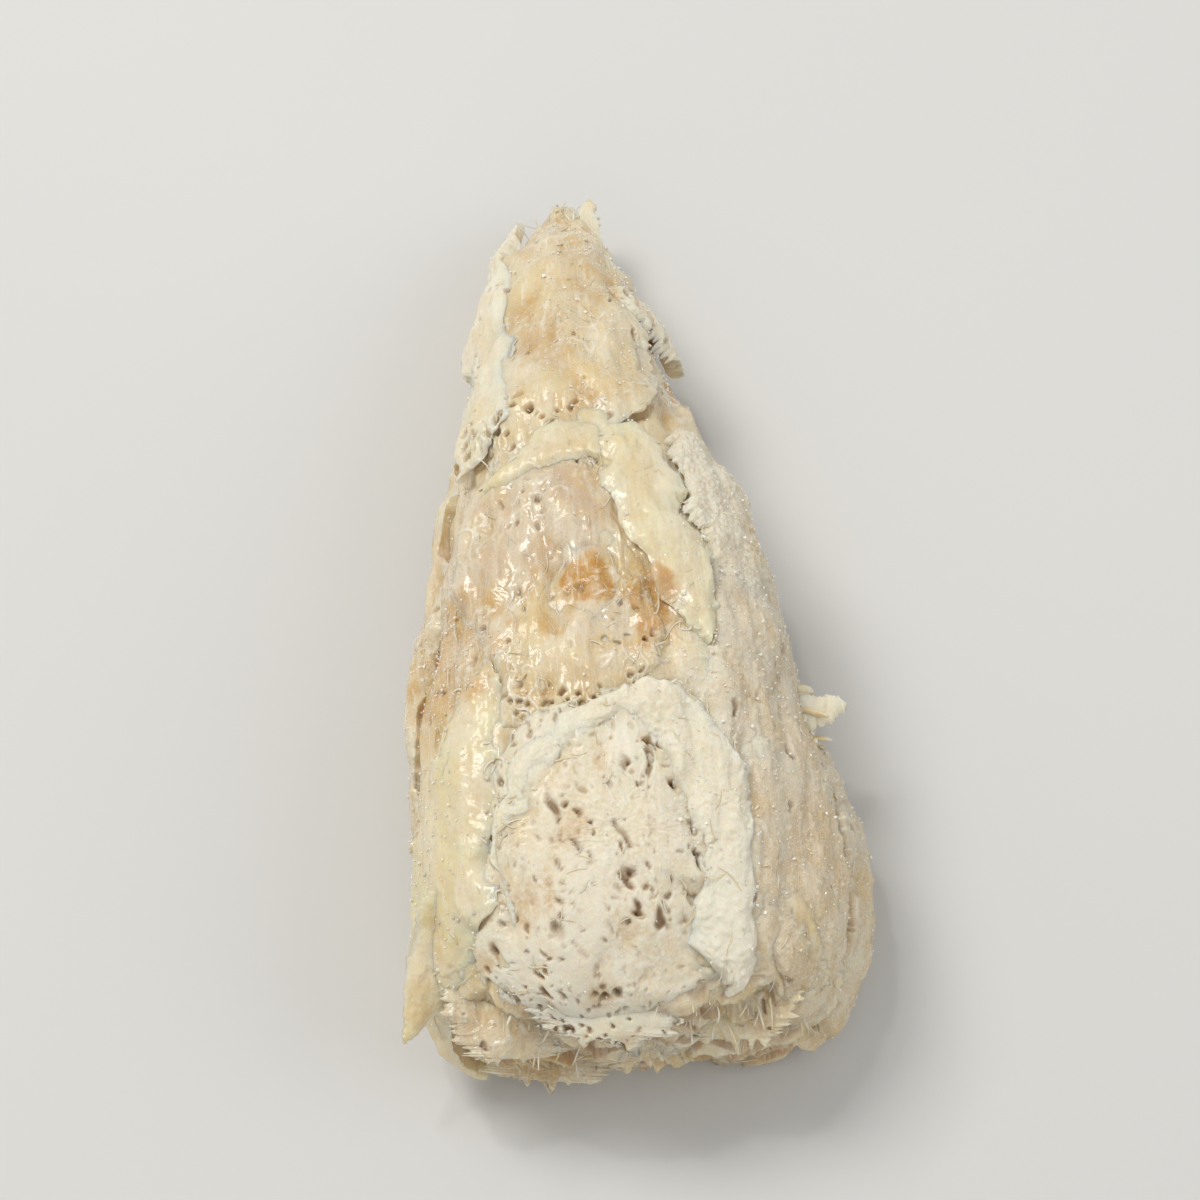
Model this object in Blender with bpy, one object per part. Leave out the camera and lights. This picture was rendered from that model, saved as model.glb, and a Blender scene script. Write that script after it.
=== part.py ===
"""A torn chunk of salted dried cod, lying on its flattened underside.

Metres, +Z up. The muscle runs along Y: the wide torn end is at -Y and the narrow end at
+Y. +X is to the right of someone who looks along +Y. The origin is under the middle of
the chunk, on the surface that it rests on.

The chunk is one piece of flesh, so it is one solid: a lofted core, joined with the
muscle flakes that peel off it, and trimmed flat underneath.
"""

import math

import bpy
from mathutils import Vector, noise

# Driving dimensions of the whole chunk.
LENGTH = 0.100
WIDTH = 0.044
HEIGHT = 0.029

NAME = "cod_chunk"
FLESH_COLOUR = (0.80, 0.70, 0.52, 1.0)
FLESH_ROUGHNESS = 0.55

# The core's sections, as shares of LENGTH along Y, of WIDTH across X and of HEIGHT up Z:
# along, left edge, right edge, ridge, height of the ridge, height of the widest point.
SECTIONS = (
    (-0.480, -0.400, 0.410, 0.00, 0.70, 0.30),
    (-0.400, -0.450, 0.460, 0.00, 0.83, 0.34),
    (-0.290, -0.450, 0.455, 0.00, 0.89, 0.36),
    (-0.180, -0.435, 0.400, 0.02, 0.92, 0.36),
    (-0.070, -0.405, 0.370, 0.03, 0.91, 0.36),
    (0.040, -0.355, 0.325, 0.02, 0.86, 0.35),
    (0.170, -0.310, 0.235, 0.00, 0.75, 0.32),
    (0.260, -0.265, 0.165, -0.02, 0.64, 0.29),
    (0.370, -0.190, 0.105, -0.02, 0.50, 0.25),
    (0.480, -0.105, 0.060, -0.03, 0.36, 0.20),
)
NEAR_END, FAR_END = -0.495, 0.480
NEAR_CAP, FAR_CAP = 0.045, 0.120
FULLNESS_ABOVE, FULLNESS_BELOW = 2.3, 3.2
CORE_RINGS, CORE_SIDES = 42, 36

# Muscle bundles and torn dents on the core, as shares of HEIGHT and of LENGTH.
BUNDLE_DEPTH, BUNDLE_LENGTH, BUNDLE_WIDTH = 0.040, 0.30, 0.055
DENT_DEPTH, DENT_SIZE = 0.035, 0.11

# Flakes that lie on the crown. Each point is its share of WIDTH across and of LENGTH
# along, the flake's half width as a share of WIDTH, and its lift as a share of HEIGHT.
# The number after the points is the flake's thickness as a share of HEIGHT.
CROWN_FLAKES = {
    "upper": (((-0.02, 0.46, 0.08, 0.02), (-0.035, 0.37, 0.15, 0.02),
               (-0.05, 0.26, 0.205, 0.03), (-0.06, 0.18, 0.24, 0.035),
               (-0.11, 0.125, 0.20, 0.04)), 0.090),
    "ribbon": (((-0.22, 0.20, 0.035, 0.05), (-0.20, 0.31, 0.032, 0.07),
                (-0.165, 0.40, 0.028, 0.12), (-0.145, 0.495, 0.008, 0.20)), 0.045),
    "tongue": (((-0.02, 0.145, 0.10, 0.00), (0.04, 0.085, 0.115, 0.025),
                (0.11, 0.00, 0.080, 0.03), (0.155, -0.085, 0.015, 0.02)), 0.070),
    "arm": (((0.02, 0.120, 0.055, 0.00), (-0.12, 0.115, 0.050, 0.03),
             (-0.26, 0.080, 0.020, 0.04)), 0.070),
    "shoulder": (((0.165, 0.150, 0.05, 0.01), (0.20, 0.075, 0.085, 0.03),
                  (0.205, 0.00, 0.065, 0.02)), 0.120),
    "left_flap": (((-0.23, -0.07, 0.10, 0.00), (-0.31, -0.19, 0.135, 0.02),
                   (-0.375, -0.31, 0.120, 0.03), (-0.43, -0.395, 0.065, 0.02),
                   (-0.485, -0.455, 0.012, 0.02)), 0.080),
    "arch": (((-0.27, -0.34, 0.022, 0.01), (-0.215, -0.255, 0.030, 0.02),
              (-0.09, -0.200, 0.034, 0.03), (0.045, -0.195, 0.040, 0.03),
              (0.135, -0.245, 0.052, 0.03), (0.170, -0.335, 0.065, 0.03),
              (0.175, -0.440, 0.060, 0.01)), 0.090),
    "webbing": (((0.06, 0.320, 0.06, 0.01), (0.17, 0.285, 0.055, 0.03),
                 (0.28, 0.250, 0.015, 0.06)), 0.040),
}

# Flakes that stick out of the sides and ends at heights of their own. Each point is its
# share of WIDTH across, of LENGTH along and of HEIGHT up, and the half width as a share
# of WIDTH. The numbers after the points are the thickness as a share of HEIGHT and the
# roll about the flake's own path, in degrees.
FREE_FLAKES = {
    "belly": (((0.30, -0.14, 0.30, 0.09), (0.385, -0.27, 0.34, 0.13),
               (0.385, -0.38, 0.32, 0.12), (0.33, -0.465, 0.26, 0.06)), 0.30, 35),
    "right_leaf": (((0.26, 0.10, 0.34, 0.06), (0.33, -0.02, 0.38, 0.10),
                    (0.36, -0.13, 0.34, 0.08), (0.39, -0.20, 0.30, 0.02)), 0.12, 50),
    "left_leaf": (((-0.27, 0.18, 0.30, 0.05), (-0.36, 0.05, 0.38, 0.10),
                   (-0.42, -0.08, 0.42, 0.10), (-0.45, -0.20, 0.38, 0.03)), 0.14, -40),
    "left_under": (((-0.40, -0.10, 0.20, 0.06), (-0.445, -0.24, 0.22, 0.10),
                    (-0.445, -0.36, 0.24, 0.08), (-0.41, -0.45, 0.20, 0.02)), 0.16, -25),
    "near_top": (((-0.05, -0.40, 0.70, 0.18), (-0.06, -0.46, 0.62, 0.17),
                  (-0.07, -0.500, 0.52, 0.08)), 0.16, 0),
    "near_middle": (((0.16, -0.40, 0.50, 0.18), (0.17, -0.46, 0.44, 0.17),
                     (0.17, -0.495, 0.38, 0.08)), 0.18, 12),
    "near_low": (((-0.20, -0.40, 0.32, 0.18), (-0.22, -0.46, 0.26, 0.17),
                  (-0.22, -0.498, 0.20, 0.08)), 0.20, -10),
    "tuft": (((0.33, -0.150, 0.40, 0.030), (0.42, -0.155, 0.40, 0.022),
              (0.50, -0.150, 0.42, 0.006)), 0.045, 0),
    "far_strand": (((0.02, 0.42, 0.26, 0.035), (0.035, 0.46, 0.27, 0.025),
                    (0.060, 0.500, 0.31, 0.006)), 0.060, 0),
}
FLAKE_RINGS, FLAKE_SIDES = 14, 12
OVERHANG_SLOPE = 0.9  # the steepest that a flake bends down over the core's side
ROOT_DEPTH = 2.6  # how deep a crown flake goes into the core, for each part it stands out
RAGGED_SHARE = 0.14  # how far a torn edge wanders, as a share of the half width

# How far the loft reaches below the surface that trims it, as a share of HEIGHT.
SUNK = 0.020

# What brings the middle of the finished chunk's outline over the origin.
CENTRING = Vector((0.0006, 0.00035, 0.0))


def smooth(at, knots):
    """The rows of knots, keyed by their first value, joined by a Catmull-Rom curve."""
    last = len(knots) - 1
    i = 0
    while i < last - 1 and at > knots[i + 1][0]:
        i += 1
    before, after = knots[max(i - 1, 0)], knots[min(i + 2, last)]
    start, end = knots[i], knots[i + 1]
    t = min(max((at - start[0]) / (end[0] - start[0]), 0.0), 1.0)
    row = []
    for a, b, c, d in zip(before[1:], start[1:], end[1:], after[1:]):
        bend = 2 * a - 5 * b + 4 * c - d
        row.append(b + 0.5 * t * (c - a + t * (bend + t * (3 * (b - c) + d - a))))
    return row


def end_scale(along):
    """How much the core's section has shrunk towards its ends, from 0 to 1."""
    near = min(max((along - NEAR_END) / NEAR_CAP, 0.0), 1.0)
    far = min(max((FAR_END - along) / FAR_CAP, 0.0), 1.0)
    return (1 - (1 - near) ** 2.4) ** (1 / 2.4) * (1 - (1 - far) ** 2) ** 0.5


def quarter(angle, fullness):
    """A point on a quarter of a superellipse, as its shares across and up."""
    power = 2 / fullness
    return max(math.cos(angle), 0.0) ** power, max(math.sin(angle), 0.0) ** power


def section_point(along, turn):
    """A point of the core's section at a share of its length, turn going from 0 at the
    right edge over the ridge and round underneath, up to 1."""
    left, right, ridge, crown, girth = smooth(along, SECTIONS)
    angle = turn * 2 * math.pi
    above = angle <= math.pi
    across_share, up_share = quarter(
        math.pi / 2 - abs(math.pi / 2 - angle % math.pi),
        FULLNESS_ABOVE if above else FULLNESS_BELOW,
    )
    on_right = angle < math.pi / 2 or angle > 1.5 * math.pi
    edge = right if on_right else left
    scale = end_scale(along)
    across = ridge + (edge - ridge) * across_share * scale
    reach = (crown - girth) if above else -(girth + SUNK)
    return Vector((across * WIDTH, along * LENGTH, (girth + reach * up_share * scale) * HEIGHT))


def crown_height(x, y):
    """Height of the core's upper surface over a point, in metres."""
    along = min(max(y / LENGTH, NEAR_END), FAR_END)
    left, right, ridge, crown, girth = smooth(along, SECTIONS)
    scale = max(end_scale(along), 0.05)
    edge = right if x / WIDTH > ridge else left
    out = min(abs((x / WIDTH - ridge) / ((edge - ridge) * scale)), 1.0)
    rise = (1 - out**FULLNESS_ABOVE) ** (1 / FULLNESS_ABOVE)
    return (girth + (crown - girth) * scale * rise) * HEIGHT


def muscle_relief(point):
    """Long bundles of muscle with torn dents between them, in metres along the normal."""
    size = LENGTH * BUNDLE_WIDTH
    run = LENGTH * BUNDLE_LENGTH
    bundles = noise.noise(Vector((point.x / size, point.y / run, point.z / size)))
    dents = noise.noise(point / (LENGTH * DENT_SIZE) + Vector((3.7, 1.9, 5.3)))
    return HEIGHT * (BUNDLE_DEPTH * bundles + DENT_DEPTH * dents)


def lofted(name, rings):
    """A closed mesh object through rings of points, with a pole at each end."""
    sides = len(rings[0])
    points = [p for ring in rings for p in ring]
    first_pole, last_pole = len(points), len(points) + 1
    points.append(sum(rings[0], Vector()) / sides)
    points.append(sum(rings[-1], Vector()) / sides)
    faces = []
    for i in range(len(rings) - 1):
        for j in range(sides):
            a, b = i * sides + j, i * sides + (j + 1) % sides
            faces.append((a, b, b + sides, a + sides))
    top = (len(rings) - 1) * sides
    for j in range(sides):
        k = (j + 1) % sides
        faces.append((first_pole, k, j))
        faces.append((last_pole, top + j, top + k))
    mesh = bpy.data.meshes.new(name)
    mesh.from_pydata(points, [], faces)
    mesh.validate()
    obj = bpy.data.objects.new(name, mesh)
    return obj


def core():
    """The body of the chunk: sections along the muscle, roughened by its bundles."""
    rings = []
    for i in range(CORE_RINGS):
        share = (i + 0.5) / CORE_RINGS
        eased = 0.5 - 0.5 * math.cos(math.pi * share)
        along = NEAR_END + (FAR_END - NEAR_END) * (0.35 * share + 0.65 * eased)
        ring = []
        for j in range(CORE_SIDES):
            point = section_point(along, j / CORE_SIDES)
            middle = Vector((smooth(along, SECTIONS)[2] * WIDTH, point.y, 0.3 * HEIGHT))
            outward = (point - middle).normalized()
            ring.append(point + outward * muscle_relief(point) * end_scale(along))
        rings.append(ring)
    return lofted(NAME, rings)


def ragged(share, seed):
    """A torn edge: how far it wanders at a share of its length."""
    slow = noise.noise(Vector((share * 5.0, seed * 7.3, 0.0)))
    quick = noise.noise(Vector((share * 17.0, seed * 3.1, 4.0)))
    return 1 + RAGGED_SHARE * (slow + 0.8 * quick)


def lens_ring(centre, across, up, half_width, heights, bow, share, seed):
    """A flake's section: a lens of that half width and of those heights over and under
    its middle, its edges bent down by bow, with ragged left and right edges."""
    ring = []
    for j in range(FLAKE_SIDES):
        angle = 2 * math.pi * j / FLAKE_SIDES
        side = math.cos(angle)
        edge = half_width * ragged(share, seed + (0.5 if side > 0 else 0.0))
        height = heights[0] if j < FLAKE_SIDES / 2 else heights[1]
        lift = height * math.sin(angle) - bow * side * side
        ring.append(centre + across * (side * edge) + up * lift)
    return ring


def flake_shares():
    """Shares along a flake, closer together at its ends, which never quite reach 0 or 1."""
    for i in range(FLAKE_RINGS):
        share = (i + 0.4) / (FLAKE_RINGS - 0.2)
        yield 0.5 - 0.5 * math.cos(math.pi * share)


def tip_scale(share):
    """A flake's size towards its own ends: full for most of its length."""
    return (1 - abs(2 * share - 1) ** 5) ** 0.5


def crown_flake(name, points, thickness, seed):
    """A flake that lies on the crown: it follows the core's surface across its width,
    but bends over the core's side no more steeply than OVERHANG_SLOPE."""
    knots = [(i / (len(points) - 1), *p) for i, p in enumerate(points)]
    rings = []
    for share in flake_shares():
        x, y, half, lift = smooth(share, knots)
        ahead = smooth(min(share + 0.02, 1.0), knots)
        behind = smooth(max(share - 0.02, 0.0), knots)
        course = Vector(((ahead[0] - behind[0]) * WIDTH, (ahead[1] - behind[1]) * LENGTH, 0))
        course.normalize()
        flat = Vector((course.y, -course.x, 0))
        centre = Vector((x * WIDTH, y * LENGTH, 0))
        half_width = max(half, 0.004) * WIDTH * tip_scale(share)
        sampled = 0.7 * half_width
        middle_z = crown_height(centre.x, centre.y)
        right, left = centre + flat * sampled, centre - flat * sampled
        right_z, left_z = crown_height(right.x, right.y), crown_height(left.x, left.y)
        limit = OVERHANG_SLOPE * sampled
        right_z = max(right_z, middle_z - limit)
        left_z = max(left_z, middle_z - limit)
        slope = (right_z - left_z) / (2 * sampled)
        bow = max(middle_z - 0.5 * (right_z + left_z), 0.0) / 0.49
        across = (flat + Vector((0, 0, slope))).normalized()
        centre.z = middle_z + lift * HEIGHT
        over = 0.5 * thickness * HEIGHT * tip_scale(share)
        rings.append(lens_ring(centre, across, Vector((0, 0, 1)), half_width,
                               (over, over * ROOT_DEPTH), bow, share, seed))
    return lofted(name, rings)


def free_flake(name, points, thickness, roll, seed):
    """A flake along a path of its own, rolled about that path."""
    knots = [(i / (len(points) - 1), *p) for i, p in enumerate(points)]
    rings = []
    for share in flake_shares():
        x, y, z, half = smooth(share, knots)
        ahead = smooth(min(share + 0.02, 1.0), knots)
        behind = smooth(max(share - 0.02, 0.0), knots)
        course = Vector(((ahead[0] - behind[0]) * WIDTH, (ahead[1] - behind[1]) * LENGTH,
                         (ahead[2] - behind[2]) * HEIGHT)).normalized()
        flat = course.cross(Vector((0, 0, 1))).normalized()
        up = flat.cross(course)
        turn = math.radians(roll)
        across = flat * math.cos(turn) - up * math.sin(turn)
        risen = up * math.cos(turn) + flat * math.sin(turn)
        centre = Vector((x * WIDTH, y * LENGTH, z * HEIGHT))
        half_width = max(half, 0.004) * WIDTH * tip_scale(share)
        over = 0.5 * thickness * HEIGHT * tip_scale(share)
        rings.append(lens_ring(centre, across, risen, half_width, (over, over), 0.0,
                               share, seed))
    return lofted(name, rings)


def flesh():
    """Pale, matt, salted flesh."""
    material = bpy.data.materials.new("cod_flesh")
    material.use_nodes = True
    shader = material.node_tree.nodes["Principled BSDF"]
    shader.inputs["Base Color"].default_value = FLESH_COLOUR
    shader.inputs["Roughness"].default_value = FLESH_ROUGHNESS
    shader.inputs["Metallic"].default_value = 0.0
    return material


def facing_out(obj):
    """Turns the faces outwards if the loft ran the other way round."""
    mesh = obj.data
    volume = 0.0
    for face in mesh.polygons:
        corners = [mesh.vertices[i].co for i in face.vertices]
        for b, c in zip(corners[1:], corners[2:]):
            volume += corners[0].dot(b.cross(c))
    if volume < 0:
        mesh.flip_normals()


def floor_cutter():
    """A slab whose top is the surface that the chunk rests on."""
    bpy.ops.mesh.primitive_cube_add(size=1, location=(0, 0, -HEIGHT / 2))
    slab = bpy.context.object
    slab.name = "floor_cutter"
    slab.scale = (3 * WIDTH, 2 * LENGTH, HEIGHT)
    bpy.ops.object.transform_apply(location=False, rotation=False, scale=True)
    return slab


def add_helper(obj, collection):
    """Files a flake or a cutter away from the finished chunk, unseen in renders."""
    for owner in list(obj.users_collection):
        owner.objects.unlink(obj)
    collection.objects.link(obj)
    obj.location += CENTRING
    facing_out(obj)
    obj.hide_render = True
    obj.display_type = "WIRE"


def main():
    for obj in list(bpy.data.objects):
        bpy.data.objects.remove(obj, do_unlink=True)
    parts = bpy.data.collections.new("Salted dried cod")
    flakes = bpy.data.collections.new("Flakes")
    cutters = bpy.data.collections.new("Cutters")
    for collection in (parts, flakes, cutters):
        bpy.context.scene.collection.children.link(collection)

    chunk = core()
    facing_out(chunk)
    chunk.data.materials.append(flesh())
    chunk.location = CENTRING
    parts.objects.link(chunk)
    for seed, (name, (points, thickness)) in enumerate(CROWN_FLAKES.items()):
        add_helper(crown_flake(name, points, thickness, seed + 1.0), flakes)
    for seed, (name, (points, thickness, roll)) in enumerate(FREE_FLAKES.items()):
        add_helper(free_flake(name, points, thickness, roll, seed + 21.0), flakes)
    floor = floor_cutter()
    add_helper(floor, cutters)

    join = chunk.modifiers.new("Flakes", "BOOLEAN")
    join.operation = "UNION"
    join.operand_type = "COLLECTION"
    join.collection = flakes
    join.solver = "MANIFOLD"  # EXACT leaves folded slivers where flakes graze each other
    trim = chunk.modifiers.new("Floor", "BOOLEAN")
    trim.operation = "DIFFERENCE"
    trim.object = floor


main()
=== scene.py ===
"""Salted dried cod: one torn chunk, as a set of surfaces worked out with numpy.

Sizes inside the shape functions are millimetres; make_piece turns them into metres.
+Y runs along the muscle to the narrow end, +X is right and +Z is up.
"""

import math

import bpy
import numpy as np
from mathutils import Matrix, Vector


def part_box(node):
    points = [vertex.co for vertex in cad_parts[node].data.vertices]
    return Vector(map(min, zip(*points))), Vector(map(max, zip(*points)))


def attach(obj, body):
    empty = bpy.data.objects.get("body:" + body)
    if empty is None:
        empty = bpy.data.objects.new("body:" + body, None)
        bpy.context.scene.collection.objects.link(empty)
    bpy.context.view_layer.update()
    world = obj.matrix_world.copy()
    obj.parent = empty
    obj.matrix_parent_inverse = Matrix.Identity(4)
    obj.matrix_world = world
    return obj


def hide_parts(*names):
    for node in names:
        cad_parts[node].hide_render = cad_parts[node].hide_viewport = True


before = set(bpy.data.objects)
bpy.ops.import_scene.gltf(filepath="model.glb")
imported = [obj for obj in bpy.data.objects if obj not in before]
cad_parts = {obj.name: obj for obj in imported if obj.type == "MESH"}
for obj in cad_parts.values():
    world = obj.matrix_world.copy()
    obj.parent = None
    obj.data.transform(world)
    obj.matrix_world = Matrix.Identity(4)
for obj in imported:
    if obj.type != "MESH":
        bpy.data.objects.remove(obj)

bl_info = {
    "name": "Salted dried cod",
    "version": (1, 0, 0),
    "blender": (4, 5, 0),
    "location": "3D View > Sidebar > Cod",
    "description": "Builds a torn chunk of salted dried cod and its stage",
    "category": "Add Mesh",
}

CHUNK = "cod_chunk"
BOX_LOW, BOX_HIGH = (np.array(corner) * 1000.0 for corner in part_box(CHUNK))
BOX_SIZE = BOX_HIGH - BOX_LOW

# The chunk's body, in shares of its length, width and height: where along, left edge,
# right edge, ridge, height of the ridge, height of the widest point.
SECTIONS = np.array(
    (
        (-0.480, -0.400, 0.410, 0.00, 0.70, 0.30),
        (-0.400, -0.450, 0.460, 0.00, 0.83, 0.34),
        (-0.290, -0.450, 0.455, 0.00, 0.89, 0.36),
        (-0.180, -0.435, 0.400, 0.02, 0.92, 0.36),
        (-0.070, -0.405, 0.370, 0.03, 0.91, 0.36),
        (0.040, -0.355, 0.325, 0.02, 0.86, 0.35),
        (0.170, -0.310, 0.235, 0.00, 0.75, 0.32),
        (0.260, -0.265, 0.165, -0.02, 0.64, 0.29),
        (0.370, -0.190, 0.105, -0.02, 0.50, 0.25),
        (0.480, -0.105, 0.060, -0.03, 0.36, 0.20),
    )
)
NEAR_END, FAR_END = -0.495, 0.480
NEAR_CAP, FAR_CAP = 0.045, 0.120
ROUND_ABOVE, ROUND_BELOW = 2.3, 3.2
BODY_SHARE = (0.9411, 0.9924, 1.006)  # the body's width, length and height over the box's
AXIS_SHIFT = np.array((0.6, 0.35, 0.0))  # mm from the box's middle to the body's axis

# The map of how thickly the body is covered: cells, cells to the millimetre, and how far
# before the middle it starts, in y and in round.
MAP_CELLS = (420, 520)
MAP_GRAIN = 4.0
MAP_START = (52.0, 65.0)


# ---------------------------------------------------------------- noise and curves


def lattice_hash(cells, seed):
    """Scrambled whole numbers for whole-number cells: the three coordinates times large
    odd numbers, folded together by exclusive-or and scrambled twice."""
    mixed = cells[..., 0] * 73856093 ^ cells[..., 1] * 19349663 ^ cells[..., 2] * 83492791
    mixed = (mixed ^ (seed * 40503 + 977)) & 0x7FFFFFFF
    mixed = ((mixed ^ (mixed >> 13)) * 1274126177) & 0x7FFFFFFF
    mixed = ((mixed ^ (mixed >> 15)) * 668265263) & 0x7FFFFFFF
    return mixed >> 7


def lattice_random(cells, seed):
    """Random numbers from 0 to 1 for whole-number cells."""
    return (lattice_hash(cells, seed) & 0xFFFF) / 65535.0


SLOPES = np.random.default_rng(11).normal(size=(256, 3))
SLOPES /= np.linalg.norm(SLOPES, axis=1, keepdims=True)


def noise(points, size, seed=0):
    """Gradient noise from about -1 to 1. size is the grain in mm, one number or three:
    at each corner of a point's cell a random slope is followed to the point, and the
    eight results are blended by a quintic fade."""
    p = points / np.asarray(size, float)
    cell = np.floor(p).astype(np.int64)
    inside = p - cell
    fade = inside**3 * (inside * (inside * 6 - 15) + 10)
    total = np.zeros(p.shape[:-1])
    for corner in range(8):
        step = np.array((corner & 1, corner >> 1 & 1, corner >> 2 & 1))
        share = np.where(step, fade, 1 - fade)
        slope = SLOPES[lattice_hash(cell + step, seed) & 255]
        rise = np.einsum("...k,...k->...", slope, inside - step)
        total += share[..., 0] * share[..., 1] * share[..., 2] * rise
    return total * 1.9


def rough_noise(points, size, seed=0, layers=3):
    """Noise in layers, each half the grain and 0.55 of the height of the last."""
    size = np.asarray(size, float)
    total, share = 0.0, 1.0
    for layer in range(layers):
        total = total + share * noise(points, size, seed + 17 * layer)
        size, share = size / 2.03, share * 0.55
    return total


def scattered_cells(points, size, seed=0):
    """Distances, in cell sizes, to the nearest and second nearest of one point
    scattered in each cell, and a random number that belongs to the nearest."""
    p = points / np.asarray(size, float)
    home = np.floor(p).astype(np.int64)
    first = np.full(p.shape[:-1], 9.0)
    second = first.copy()
    owner = np.zeros(p.shape[:-1])
    for step in np.stack(np.meshgrid(*([(-1, 0, 1)] * 3), indexing="ij"), -1).reshape(-1, 3):
        cell = home + step
        spot = np.stack([lattice_random(cell, seed + 5 * k) for k in range(3)], -1)
        gap = np.sqrt((((cell + spot) - p) ** 2).sum(-1))
        closer = gap < first
        second = np.where(closer, first, np.minimum(second, gap))
        owner = np.where(closer, lattice_random(cell, seed + 31), owner)
        first = np.minimum(first, gap)
    return first, second, owner


def ramp(value, low, high):
    """0 below low, 1 above high, and a smooth S between them; low may be the larger."""
    t = np.clip((value - low) / (high - low), 0.0, 1.0)
    return t * t * (3 - 2 * t)


def smooth_rows(at, knots):
    """Catmull-Rom through the rows of knots, keyed by their first column: in each span,
    the cubic whose slope at a knot is half the step between that knot's neighbours."""
    keys = knots[:, 0]
    i = np.clip(np.searchsorted(keys, at, side="right") - 1, 0, len(keys) - 2)
    t = np.clip((at - keys[i]) / (keys[i + 1] - keys[i]), 0, 1)[..., None]
    a, b = knots[np.maximum(i - 1, 0), 1:], knots[i, 1:]
    c, d = knots[i + 1, 1:], knots[np.minimum(i + 2, len(keys) - 1), 1:]
    bend = 2 * a - 5 * b + 4 * c - d + t * (3 * (b - c) + d - a)
    return b + 0.5 * t * (c - a + t * bend)


def unit(vectors):
    """The vectors at length one."""
    return vectors / np.maximum(np.linalg.norm(vectors, axis=-1, keepdims=True), 1e-9)


def spot(points, x, y, half_x, half_y, wander=0.0, soft=0.35):
    """A soft-edged oval zone seen from above, 1 inside and 0 outside: the distance from
    its middle in shares of its half sizes, with wander added to it."""
    out = np.hypot((points[..., 0] - x) / half_x, (points[..., 1] - y) / half_y) + wander
    return ramp(out, 1 + soft, 1 - soft)


# ---------------------------------------------------------------- the body's form


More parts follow.
